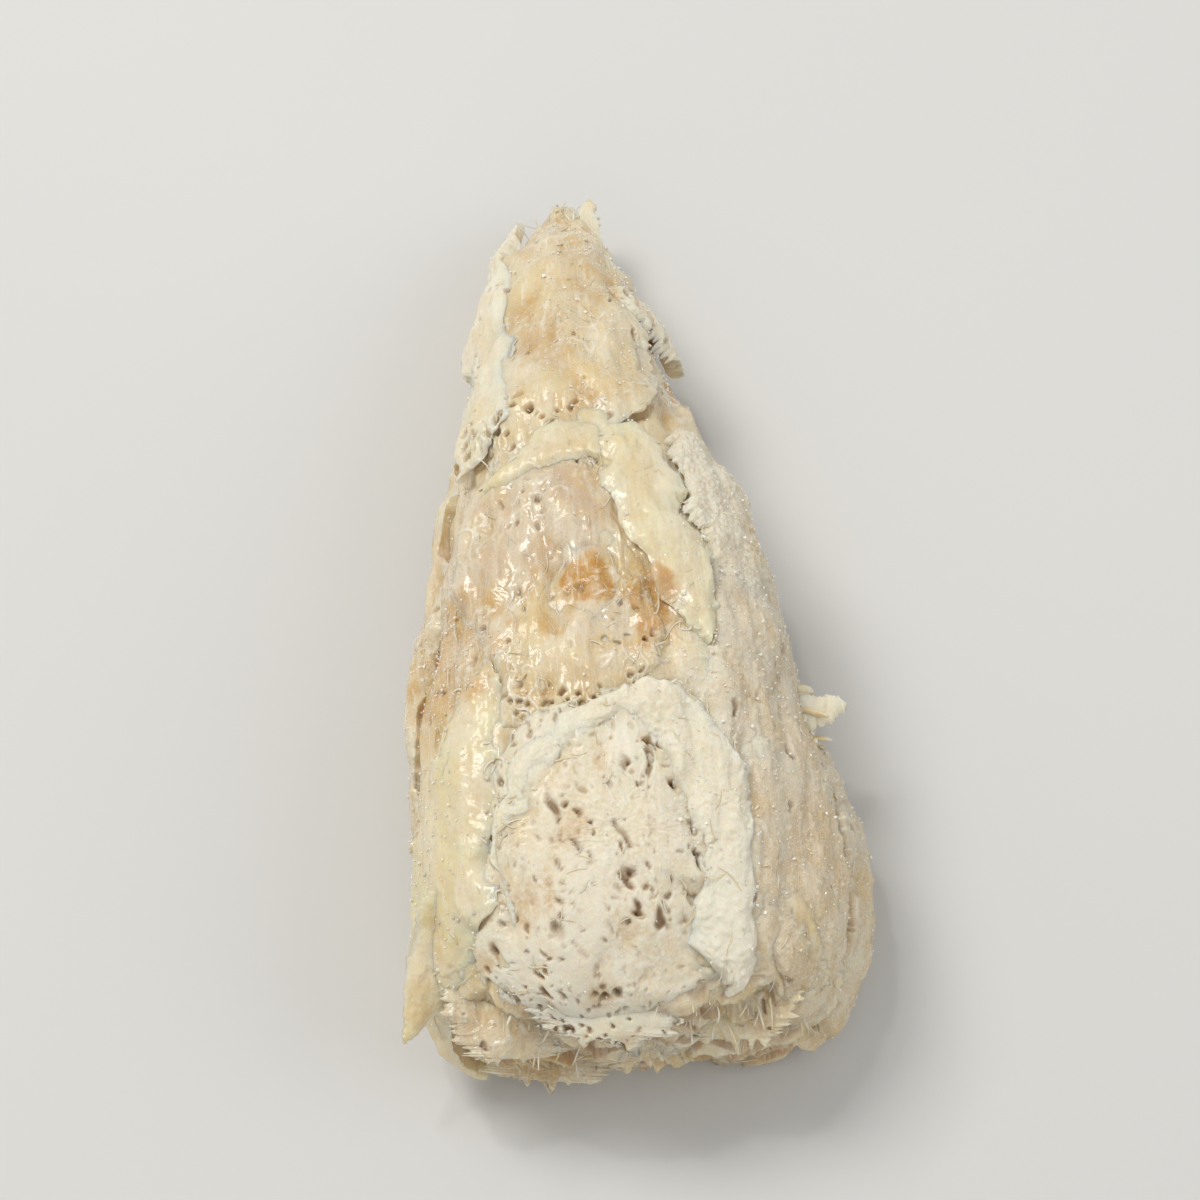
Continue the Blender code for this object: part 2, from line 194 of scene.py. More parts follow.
class FleshForm:
    """The chunk's smooth form, addressed by y, the distance along, and by round, the
    distance walked over the surface from the ridge line, right being positive."""

    ROWS, COLUMNS = 560, 720

    def __init__(self, sizes):
        self.size = np.array((sizes.width, sizes.length, sizes.height)) * 1000.0
        share = np.linspace(0.0, 1.0, self.ROWS)
        eased = 0.5 - 0.5 * np.cos(np.pi * share)
        along = NEAR_END + (FAR_END - NEAR_END) * (0.3 * share + 0.7 * eased)
        angle = np.linspace(-0.5 * np.pi, 1.5 * np.pi, 1441)
        rings = self.section(along[:, None], angle[None, :])
        walked = np.linalg.norm(np.diff(rings, axis=1), axis=-1).cumsum(1)
        walked = np.concatenate((np.zeros((self.ROWS, 1)), walked), 1)
        middle = walked[:, 720]
        self.right = middle
        self.left = walked[:, -1] - middle
        shares = np.linspace(-1.0, 1.0, self.COLUMNS + 1)
        self.table = np.empty((self.ROWS, self.COLUMNS + 1, 3))
        for row in range(self.ROWS):
            reach = np.where(shares > 0, self.right[row], self.left[row])
            wanted = middle[row] - shares * reach
            for k in range(3):
                self.table[row, :, k] = np.interp(wanted, walked[row], rings[row, :, k])
        self.y = along * self.size[1] + AXIS_SHIFT[1]
        near, far = np.searchsorted(along, (NEAR_END + 0.8 * NEAR_CAP, FAR_END - 0.8 * FAR_CAP))
        for reach in (self.right, self.left):
            reach[:near] = reach[near]
            reach[far:] = reach[far]
        across = np.gradient(self.table, axis=1)
        self.normals = unit(np.cross(across, np.gradient(self.table, axis=0)))
        self.cover = np.zeros(MAP_CELLS)
        steps = np.linalg.norm(np.diff(self.table[:, 90:-90:60], axis=0), axis=-1).mean(1)
        self.walk = np.concatenate(((0.0,), steps.cumsum()))

    def section(self, along, angle):
        """Points of the body at a share of its length and an angle round it: quarters of
        superellipses that meet at the ridge, at both edges and under the middle, and
        that shrink to a point at both ends."""
        left, right, ridge, crown, girth = np.moveaxis(smooth_rows(along, SECTIONS), -1, 0)
        near = np.clip((along - NEAR_END) / NEAR_CAP, 0, 1)
        far = np.clip((FAR_END - along) / FAR_CAP, 0, 1)
        end = (1 - (1 - near) ** 2.4) ** (1 / 2.4) * np.sqrt(1 - (1 - far) ** 2)
        above = np.sin(angle) >= 0
        power = 2 / np.where(above, ROUND_ABOVE, ROUND_BELOW)
        out = np.where(np.cos(angle) > 0, right - ridge, left - ridge)
        x = ridge + out * np.abs(np.cos(angle)) ** power * end
        up = np.where(above, crown - girth, -girth - 0.02)
        z = girth + up * np.abs(np.sin(angle)) ** power * end
        y = along + 0 * angle
        return np.stack((x, y, z), -1) * self.size + AXIS_SHIFT

    def _read(self, table, row, column):
        """Straight blending between the four nearest entries of a table."""
        i = np.clip(row.astype(int), 0, table.shape[0] - 2)
        j = np.clip(column.astype(int), 0, table.shape[1] - 2)
        a, b = (row - i), (column - j)
        if table.ndim == 3:
            a, b = a[..., None], b[..., None]
        low = table[i, j] * (1 - b) + table[i, j + 1] * b
        high = table[i + 1, j] * (1 - b) + table[i + 1, j + 1] * b
        return low * (1 - a) + high * a

    def at(self, y, round_):
        """The body's point and outward direction at y along and round_ from the ridge."""
        y, round_ = np.broadcast_arrays(np.asarray(y, float), np.asarray(round_, float))
        row = np.interp(y, self.y, np.arange(self.ROWS))
        right = np.interp(y, self.y, self.right)
        left = np.interp(y, self.y, self.left)
        reach = np.maximum(np.where(round_ > 0, right, left), 0.05)
        share = np.clip(round_ / reach, -1, 1)
        column = (share + 1) * 0.5 * self.COLUMNS
        return self._read(self.table, row, column), unit(self._read(self.normals, row, column))

    def cover_index(self, y, round_):
        """Where a spot is in the map of how thickly the body is covered."""
        return (y + MAP_START[0]) * MAP_GRAIN, (round_ + MAP_START[1]) * MAP_GRAIN

    def lay(self, y, round_, height):
        """Notes in the cover map how high a piece's surface stands over the body."""
        row, column = self.cover_index(y, round_)
        for shift in ((0, 0), (0, 1), (1, 0), (1, 1)):
            i = np.clip(row.astype(int) + shift[0], 0, self.cover.shape[0] - 1)
            j = np.clip(column.astype(int) + shift[1], 0, self.cover.shape[1] - 1)
            np.maximum.at(self.cover, (i.ravel(), j.ravel()), height.ravel())

    def crease_shade(self, y, round_):
        """How near a spot is to a rim of an upper flake, from 0 to 1: where the flesh is dented and painted
        with shade.
        """
        return self._on_map(self.edges, y, round_)

    def covered(self, y, round_):
        """How high the laid pieces stand over the body at a spot."""
        return self._on_map(self.cover, y, round_)

    def _on_map(self, table, y, round_):
        """What a map says at a spot."""
        row, column = self.cover_index(y, round_)
        last_row, last_column = table.shape[0] - 2, table.shape[1] - 2
        return self._read(table, np.clip(row, 0, last_row), np.clip(column, 0, last_column))


FORMS = {}


def flesh_form():
    """The form for the current sizes, worked out once."""
    sizes = bpy.context.scene.cod_sizes
    key = (sizes.width, sizes.length, sizes.height)
    if key not in FORMS:
        FORMS[key] = FleshForm(sizes)
    return FORMS[key]


# ---------------------------------------------------------------- meshes


def make_piece(name, points, quads, triangles, masks, material):
    """Turns arrays in mm into a smooth mesh object that rides on the chunk's body."""
    corners = np.concatenate((quads.ravel(), triangles.ravel())).astype(np.int32)
    starts = np.concatenate(
        (np.arange(len(quads)) * 4, len(quads) * 4 + np.arange(len(triangles)) * 3)
    ).astype(np.int32)
    mesh = bpy.data.meshes.new(name)
    mesh.vertices.add(len(points))
    mesh.vertices.foreach_set("co", (points * 0.001).astype(np.float32).ravel())
    mesh.loops.add(len(corners))
    mesh.loops.foreach_set("vertex_index", corners)
    mesh.polygons.add(len(starts))
    mesh.polygons.foreach_set("loop_start", starts)
    mesh.update(calc_edges=True)
    mesh.validate()
    for mask, values in masks.items():
        layer = mesh.attributes.new(mask, "FLOAT", "POINT")
        layer.data.foreach_set("value", np.clip(values, 0, 1).astype(np.float32).ravel())
    mesh.shade_smooth()
    mesh.materials.append(material)
    piece = bpy.data.objects.new(name, mesh)
    bpy.context.scene.collection.objects.link(piece)
    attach(piece, "root")
    return piece


def closed_tube(rings, masks):
    """Points, quads, triangles and masks of a tube through rings x sides points, with a
    pole at each end at the middle of its ring, and its faces turned outwards."""
    count, sides = rings.shape[:2]
    points = np.concatenate((rings.reshape(-1, 3), rings[:1].mean(1), rings[-1:].mean(1)))
    i, j = np.meshgrid(np.arange(count - 1), np.arange(sides), indexing="ij")
    k = (j + 1) % sides
    quads = np.stack((i * sides + j, i * sides + k, (i + 1) * sides + k, (i + 1) * sides + j), -1)
    quads = quads.reshape(-1, 4)
    around = np.arange(sides)
    onward = (around + 1) % sides
    first, last = count * sides, count * sides + 1
    top = (count - 1) * sides
    triangles = np.concatenate(
        (
            np.stack((onward, around, np.full(sides, first)), -1),
            np.stack((top + around, top + onward, np.full(sides, last)), -1),
        )
    )
    a, b, c = points[quads[:, 0]], points[quads[:, 1]], points[quads[:, 2]]
    if np.einsum("ij,ij->i", a, np.cross(b, c)).sum() < 0:
        quads, triangles = quads[:, ::-1], triangles[:, ::-1]
    whole = {}
    for name, values in masks.items():
        ends = (values[:1].mean(1), values[-1:].mean(1))
        whole[name] = np.concatenate((values.ravel(), *ends))
    return points, quads, triangles, whole


# ---------------------------------------------------------------- surface detail

# Zones seen from above: x and y of the middle and both half sizes in mm, and depth.
AMBER_SPOTS = (
    (-1.6, -6.2, 2.5, 3.0, 1.15), (0.0, -8.0, 5.5, 6.5, 0.60), (-15.0, -10.0, 6.0, 8.0, 0.72),
    (2.5, 26.0, 6.5, 12.0, 0.38), (-13.0, 22.0, 3.5, 9.0, 0.45), (17.5, -40.0, 6.0, 9.0, 0.50),
    (10.0, 20.0, 2.2, 3.0, 0.95), (-20.0, -4.0, 4.0, 12.0, 0.45), (0.0, 44.0, 5.0, 7.0, 0.45),
    (4.6, -10.0, 2.8, 5.0, 0.85), (-4.6, -9.4, 2.2, 3.4, 0.70),
)
PINK_SPOTS = (
    (-7.0, 2.0, 9.0, 8.0, 0.90), (0.6, -12.5, 4.0, 4.5, 0.55), (0.6, -38.0, 2.6, 3.2, 0.95),
    (16.0, -20.0, 6.0, 20.0, 0.45),
)
DRY_SPOTS = (
    (9.5, 3.0, 4.6, 10.0, 0.80), (12.5, -16.0, 7.0, 15.0, 0.62), (-2.0, -34.0, 11.0, 13.0, 0.80),
)


def zone_masks(p):
    """Where the flesh is amber, pink, or dry and white with salt, at points in mm."""
    drift = rough_noise(p, 9.0, 41, 2)
    high = ramp(p[..., 2], 7.0, 13.0)
    here = 0.32 * rough_noise(p, 4.0, 42, 2)
    there = 0.32 * rough_noise(p, 4.6, 44, 2)
    amber = 0.06 + 0.30 * ramp(drift, 0.0, 0.5)
    for x, y, half_x, half_y, depth in AMBER_SPOTS:
        amber = np.maximum(amber, depth * high * spot(p, x, y, half_x, half_y, here))
    pink = 0.05 + 0.28 * ramp(noise(p, 7.0, 43), 0.0, 0.5)
    for x, y, half_x, half_y, depth in PINK_SPOTS:
        pink = np.maximum(pink, depth * spot(p, x, y, half_x, half_y, there))
    dry = 0.10 + 0.36 * ramp(noise(p, (5.0, 8.0, 5.0), 47), 0.0, 0.5)
    for x, y, half_x, half_y, depth in DRY_SPOTS:
        dry = np.maximum(dry, depth * spot(p, x, y, half_x, half_y, here - there))
    dry = dry * (1 - 0.8 * ramp(amber, 0.55, 0.9))
    pink = pink * (1 - ramp(amber, 0.6, 0.9))
    return {"amber": amber, "pink": pink, "dry": dry}


def veins(p, size, seed, width=0.14):
    """Thin ridges, from 0 to 1: where noise at a bent place passes through nought."""
    bent = p + 0.7 * np.stack([noise(p, 2.4, seed + 60 + k) for k in range(3)], -1)
    return ramp(np.abs(noise(bent, size, seed)), width, 0.0)


def soft_flesh(p, strength=1.0, net=1.0):
    """Height in mm of moist flesh, and the masks that go with it: lumps and folds drawn
    out along Y, ridged bundles of fibre, a net of thin white threads, a fine crumb, and
    painted shade, as amber, in the hollows between the lumps."""
    lumps = 0.62 * noise(p, (5.2, 9.5, 5.2), 60) + 0.42 * noise(p, (2.3, 4.6, 2.3), 61)
    bundle = 0.5 - np.abs(noise(p, (1.0, 8.0, 1.0), 62))
    thread = 0.5 - np.abs(noise(p, (0.42, 3.4, 0.42), 63))
    crumb = rough_noise(p, 0.7, 64, 2)
    coarse = veins(p, (1.7, 3.8, 1.7), 65)
    fine = veins(p, (0.8, 1.9, 0.8), 66, 0.10)
    patch = ramp(noise(p, 6.0, 67), -0.25, 0.25) * net
    crest = np.clip(coarse + 0.6 * fine, 0, 1) * patch
    rise = lumps + 0.14 * bundle + 0.06 * thread + 0.03 * crumb + 0.16 * crest
    # The amber mask here is painted shade: amber in the hollows between the lumps.
    masks = {"crest": crest, "amber": 0.70 * ramp(lumps, 0.12, -0.5)}
    return strength * rise, masks


def velvet_salt(p):
    """Height in mm of a salt crust: low waves under a dense crumb of fine grains."""
    waves = 0.65 * noise(p, (4.5, 9.0, 4.5), 71) + 0.30 * noise(p, (1.9, 4.2, 1.9), 75)
    grains = np.maximum(noise(p, 0.62, 72), 0) * 0.24 + np.maximum(noise(p, 0.36, 73), 0) * 0.14
    return waves + grains + 0.08 * noise(p, (0.5, 2.4, 0.5), 74)


def pores(p, size, share, seed):
    """Depth from 0 to 1 of torn holes: the middles of a share of scattered cells."""
    bent = p + 0.45 * np.stack([noise(p, 1.3, seed + 50 + k) for k in range(3)], -1)
    gap, _, owner = scattered_cells(bent, size, seed)
    reach = 0.26 + 0.22 * ((owner * 37.7) % 1.0)
    return ramp(gap, reach, reach * 0.45) * (owner < share)


# ---------------------------------------------------------------- flakes


class Flake:
    """A peeled leaf of muscle: a lens-shaped section carried along a path.

    Its base is where its middle plane would lie, up is the direction away from the
    flesh, side goes from -1 at the left edge to 1 at the right, and lean from 0 at the
    edge to 1 over the middle, being negative underneath."""

    def __init__(self, path, seed, rings, sides, ragged, fray, blunt):
        knots = np.array(path, float)
        knots = np.column_stack((np.linspace(0, 1, len(knots)), knots))
        step = np.linspace(0, 1, rings + 2)[1:-1]
        self.t = 0.45 * step + 0.55 * (0.5 - 0.5 * np.cos(np.pi * step))
        self.rows = smooth_rows(self.t, knots)
        over = np.linspace(0, np.pi, int(sides * 0.7), endpoint=False)
        under = np.linspace(np.pi, 2 * np.pi, sides - len(over), endpoint=False)
        angle = np.concatenate((over, under))
        self.side = np.cos(angle)[None, :] + 0 * self.t[:, None]
        self.lean = np.sin(angle)[None, :] + 0 * self.t[:, None]
        start = 1 - np.clip(1 - 2 * self.t, 0, 1) ** blunt[0]
        finish = 1 - np.clip(2 * self.t - 1, 0, 1) ** blunt[1]
        self.tip = np.sqrt(start * finish)
        self.seed, self.ragged, self.fray = seed, ragged, fray

    def reach(self, left, right):
        """Signed distance in mm from the path: the half width on that side, torn by
        noise along the edge at three grains."""
        t = self.t[:, None] * 100
        hand = np.sign(self.side)
        edge = np.stack((t + 0 * hand, hand * 5.0, hand * 0 + self.seed * 9.7), -1)
        torn = noise(edge, 7.0, 3) + 0.7 * noise(edge, 2.6, 4) + 0.4 * noise(edge, 1.1, 5)
        half = np.where(self.side > 0, right[:, None], left[:, None]) * self.tip[:, None]
        return self.side * np.maximum(half + self.ragged * torn * np.sqrt(self.tip[:, None]), 0.02)

    def fringe(self, reach):
        """How far, in mm, each part of the two ends runs on past the path's ends."""
        spot_ = np.stack((reach, reach * 0 + self.seed * 3.3, reach * 0), -1)
        torn = noise(spot_, 2.4, 6) + 0.7 * noise(spot_, 0.9, 7)
        t = self.t[:, None]
        return self.fray * torn * (ramp(t, 0.90, 1.0) - ramp(t, 0.10, 0.0))

    def lift(self, lift, spec):
        """Height in mm over the base: a thin rounded edge, a low dome above and a deep
        root below, as thick as the spec says."""
        top, edge, root, curl = spec["top"], spec["edge"], spec["root"], spec.get("curl", 0.0)
        lens = 1 - self.side**2
        tip = self.tip[:, None]
        above = edge * np.sqrt(np.abs(self.lean)) + (top - edge) * (1 - np.abs(self.side) ** 3)
        below = -edge * np.sqrt(np.abs(self.lean)) - root * lens**1.5
        shape = np.where(self.lean > 0, above, below) * (0.25 + 0.75 * tip)
        return lift[:, None] + shape + curl * np.abs(self.side) ** 3


def laid_places(flake):
    """Where a flake lies on the body, in y and round: its path is rows of y, round, left
    and right half widths and lift."""
    y, round_, left, right = flake.rows.T[:4]
    course = unit(np.stack((np.gradient(y), np.gradient(round_)), -1))
    reach = flake.reach(np.maximum(left, 0.05), np.maximum(right, 0.05))
    run = flake.fringe(reach)
    ys = y[:, None] - course[:, 1, None] * reach + course[:, 0, None] * run
    rounds = round_[:, None] + course[:, 0, None] * reach + course[:, 1, None] * run
    spot_ = np.stack((ys, rounds, 0 * ys), -1)
    return (ys + 1.5 * noise(spot_, 8.0, 21) + 0.7 * noise(spot_, 3.0, 22),
            rounds + 1.5 * noise(spot_, 8.0, 23) + 0.7 * noise(spot_, 3.0, 24))


def hold(base, flake):
    """Where a flake sticks to what is under it, 1, and where its rim stands free, 0."""
    return ramp(noise(base, 6.5, 90 + flake.seed), -0.05, 0.35)


def laid_flake(form, flake, spec):
    """A flake on the body: its points, outward directions, heights and its y and round.
    Here and there it is pressed flat on what is under it, and its rim goes down by sunk."""
    ys, rounds = laid_places(flake)
    base, up = form.at(ys, rounds)
    sunk = spec.get("sunk", 0.0)
    height = flake.lift(flake.rows[:, 4], spec)
    height = height - sunk * ramp(np.abs(flake.side), 0.72, 1.0) - sunk * (1 - flake.tip[:, None])
    press = hold(base, flake) * np.abs(flake.side) ** 2 * (flake.rows[:, 4, None] + 0.35)
    return base, up, height - press, ys, rounds


def make_flake(seed, spec):
    """The flake of a row of LAID."""
    rings, sides = spec["grid"]
    return Flake(spec["path"], seed + 1, rings, sides, spec.get("ragged", 0.4),
                 spec.get("fray", 0.8), spec.get("blunt", (5, 5)))


def mark_edges(form):
    """Notes where the upper flakes' rims lie, spread over about a millimetre: the map that dents the flesh
    beside them and paints shade on it.
    """
    marks = np.zeros_like(form.cover)
    for seed, spec in enumerate(LAID.values()):
        if spec.get("bed"):
            continue
        flake = make_flake(seed, spec)
        rim = (np.abs(flake.side) > 0.95) | (flake.tip[:, None] < 0.45)
        ys, rounds = (place[rim] for place in laid_places(flake))
        free = 1 - hold(form.at(ys, rounds)[0], flake)
        row, column = form.cover_index(ys, rounds)
        row = np.clip(row.astype(int), 0, marks.shape[0] - 1)
        np.maximum.at(marks, (row, np.clip(column.astype(int), 0, marks.shape[1] - 1)), free)
    for _ in range(9):
        marks = (marks + sum(np.roll(marks, turn, axis) for turn in (-1, 1) for axis in (0, 1))) / 5
    form.edges = np.clip(marks * 3.2, 0, 1)


def free_flake(flake, spec):
    """A flake in the open: its path is rows of x, y, z and half width, and roll turns it
    about that path, in degrees."""
    x, y, z, half = flake.rows.T
    centre = np.stack((x, y, z), -1)
    course = unit(np.gradient(centre, axis=0))
    flat = unit(np.cross(course, (0.0, 0.0, 1.0)))
    rise = np.cross(flat, course)
    turn = math.radians(spec["roll"])
    across = flat * math.cos(turn) - rise * math.sin(turn)
    up = rise * math.cos(turn) + flat * math.sin(turn)
    reach = flake.reach(np.maximum(half, 0.05), np.maximum(half, 0.05))
    run = flake.fringe(reach)
    base = centre[:, None] + across[:, None] * reach[..., None] + course[:, None] * run[..., None]
    height = flake.lift(0 * x, spec)
    return base, np.broadcast_to(up[:, None], base.shape), height


def finish_flake(name, spec, flake, base, up, height, form=None, spots=None):
    """Adds the spec's relief to a flake's upper side and makes the piece. spots is where
    it lies on the body, in y and round. A bed is creased under the rims of the others,
    and painted shade lies in the crease: more amber, less salt white."""
    surface = base + up * height[..., None]
    rise, extra = RELIEFS[spec["relief"]](surface)
    crease_shade = 0.0 * rise
    if spec.get("bed"):
        crease_shade = form.crease_shade(*spots)
        rise = rise - 0.35 * crease_shade
    upper = ramp(flake.lean, -0.05, 0.25)
    rise = rise * upper
    points = surface + up * rise[..., None]
    points[..., 2] = np.maximum(points[..., 2], 0.0)
    if form is not None:
        top = flake.lean > 0
        form.lay(spots[0][top], spots[1][top], (height + rise)[top])
    masks = zone_masks(points)
    masks["pit"] = np.zeros(points.shape[:2])
    masks["thin"] = ramp(np.abs(flake.side), 0.45, 0.98)
    masks["crest"] = np.zeros(points.shape[:2])
    # Painted shade beside the rims of upper flakes: more amber and less salt white there.
    masks["amber"] = np.maximum(masks["amber"], 0.6 * crease_shade)
    masks["dry"] = masks["dry"] * (1 - 0.6 * crease_shade)
    for key, values in extra.items():
        masks[key] = np.maximum(masks[key], values) if key != "pit" else values * upper
    for key, (factor, extra_share) in spec.get("tint", {}).items():
        masks[key] = masks[key] * factor + extra_share
    return make_piece(name, *closed_tube(points, masks), finish_material(spec["finish"]))


def relief_flesh(p):
    """Moist flesh with a few pin holes."""
    rise, masks = soft_flesh(p)
    holes = pores(p, (1.0, 2.4, 1.0), 0.08, 81)
    # The pit mask paints shade in the pin holes.
    return rise - 0.45 * holes, {**masks, "pit": holes * 0.7}


def relief_lacy(p):
    """Moist flesh that is torn to lace along its near edge."""
    rise, masks = relief_flesh(p)
    lace = pores(p, (1.3, 1.5, 1.3), 0.7, 93) * spot(p, -8.0, 14.0, 8.0, 3.0)
    # The pit mask paints shade in the lace holes too.
    return rise - 1.3 * lace, {**masks, "pit": np.maximum(masks["pit"], 0.9 * lace)}


def relief_smooth(p):
    """A waxy, almost smooth membrane with faint threads."""
    rise, masks = soft_flesh(p, 0.6, 0.35)
    rise = rise + 0.06 * rough_noise(p, 0.9, 68, 2) + 0.10 * noise(p, (1.3, 3.0, 1.3), 69)
    # The amber mask carries half of the painted shade in the hollows.
    return rise, {"crest": 0.5 * masks["crest"], "amber": 0.5 * masks["amber"]}


def relief_salt(p):
    """A dry crust of salt over the flesh."""
    holes = pores(p, (1.2, 2.8, 1.2), 0.07, 83)
    net = veins(p, (1.5, 4.6, 1.5), 84) * ramp(noise(p, 5.0, 85), -0.1, 0.3)
    # The pit mask paints shade in the holes of the crust.
    return velvet_salt(p) + 0.10 * net - 0.5 * holes, {"pit": holes * 0.6, "crest": 0.8 * net}


def relief_foam(p):
    """White foamy tissue: long torn pores of three sizes between raised strings, and
    fibres that spread out from one spot."""
    slant = p + 0.30 * p[..., 1:2] * np.array((1.0, 0.0, 0.0))
    crowd = ramp(noise(p, 6.5, 90), -0.45, 0.10)
    large = pores(slant, (1.7, 3.6, 1.7), 0.62, 85) * crowd
    small = pores(slant, (0.85, 2.0, 0.85), 0.50, 87) * (0.3 + 0.7 * crowd)
    dots = pores(p, (0.6, 0.9, 0.6), 0.22, 89)
    x, y = p[..., 0] - 1.5, p[..., 1] + 33.0
    angle = np.arctan2(x, y)
    fan = np.stack((angle * 9, np.hypot(x, y) * 0.30, p[..., 2] * 0.3), -1)
    string = ramp(np.abs(noise(fan, 0.8, 88)), 0.22, 0.0) * spot(p, 1.5, -33, 7, 8)
    rise, masks = soft_flesh(p, 0.5)
    # The pit mask paints shade in the pores.
    pit = np.clip(0.85 * large + 0.6 * small + 0.4 * dots, 0, 1)
    rise = rise + 0.16 * string - 1.0 * large - 0.5 * small - 0.2 * dots
    crest = np.maximum(masks["crest"], string)
    # The amber mask holds painted shade in the hollows, and amber patches from noise.
    amber = np.maximum(masks["amber"], 0.45 * ramp(noise(p, (3.2, 6.0, 3.2), 97), 0.05, 0.5))
    return rise, {"pit": pit, "dry": 0.50 * (1 - pit), "crest": crest, "amber": amber}


def relief_middle(p):
    """Pinkish flesh with pores under the arm of the yellow flap, a crater of amber with
    holed tissue below it, and a row of small holes above the arch."""
    wander = 0.3 * rough_noise(p, 3.0, 94, 2)
    crater = spot(p, -1.6, -6.2, 2.3, 2.8, wander, 0.6)
    lip = spot(p, -0.6, -7.6, 6.0, 6.4, wander, 0.5)
    holed = spot(p, 0.8, -12.8, 4.6, 4.6, wander) + spot(p, -8.0, 3.6, 3.6, 2.4, wander)
    holed = np.clip(holed + spot(p, -4.0, -18.6, 8.5, 1.5, wander), 0, 1)
    round_holes = pores(p, (1.2, 1.35, 1.2), 0.62, 91) * holed
    few = pores(p, (1.1, 2.6, 1.1), 0.12, 92)
    rise, masks = soft_flesh(p, 1.25)
    rise = rise - 1.9 * crater - 0.7 * lip - 0.85 * round_holes - 0.5 * few
    # The pit mask paints shade in the holes and, faintly, in the crater.
    pit = np.clip(0.75 * round_holes + 0.6 * few + 0.15 * crater, 0, 1)
    return rise, {**masks, "pit": pit}


RELIEFS = {
    "flesh": relief_flesh,
    "lacy": relief_lacy,
    "smooth": relief_smooth,
    "salt": relief_salt,
    "foam": relief_foam,
    "middle": relief_middle,
}

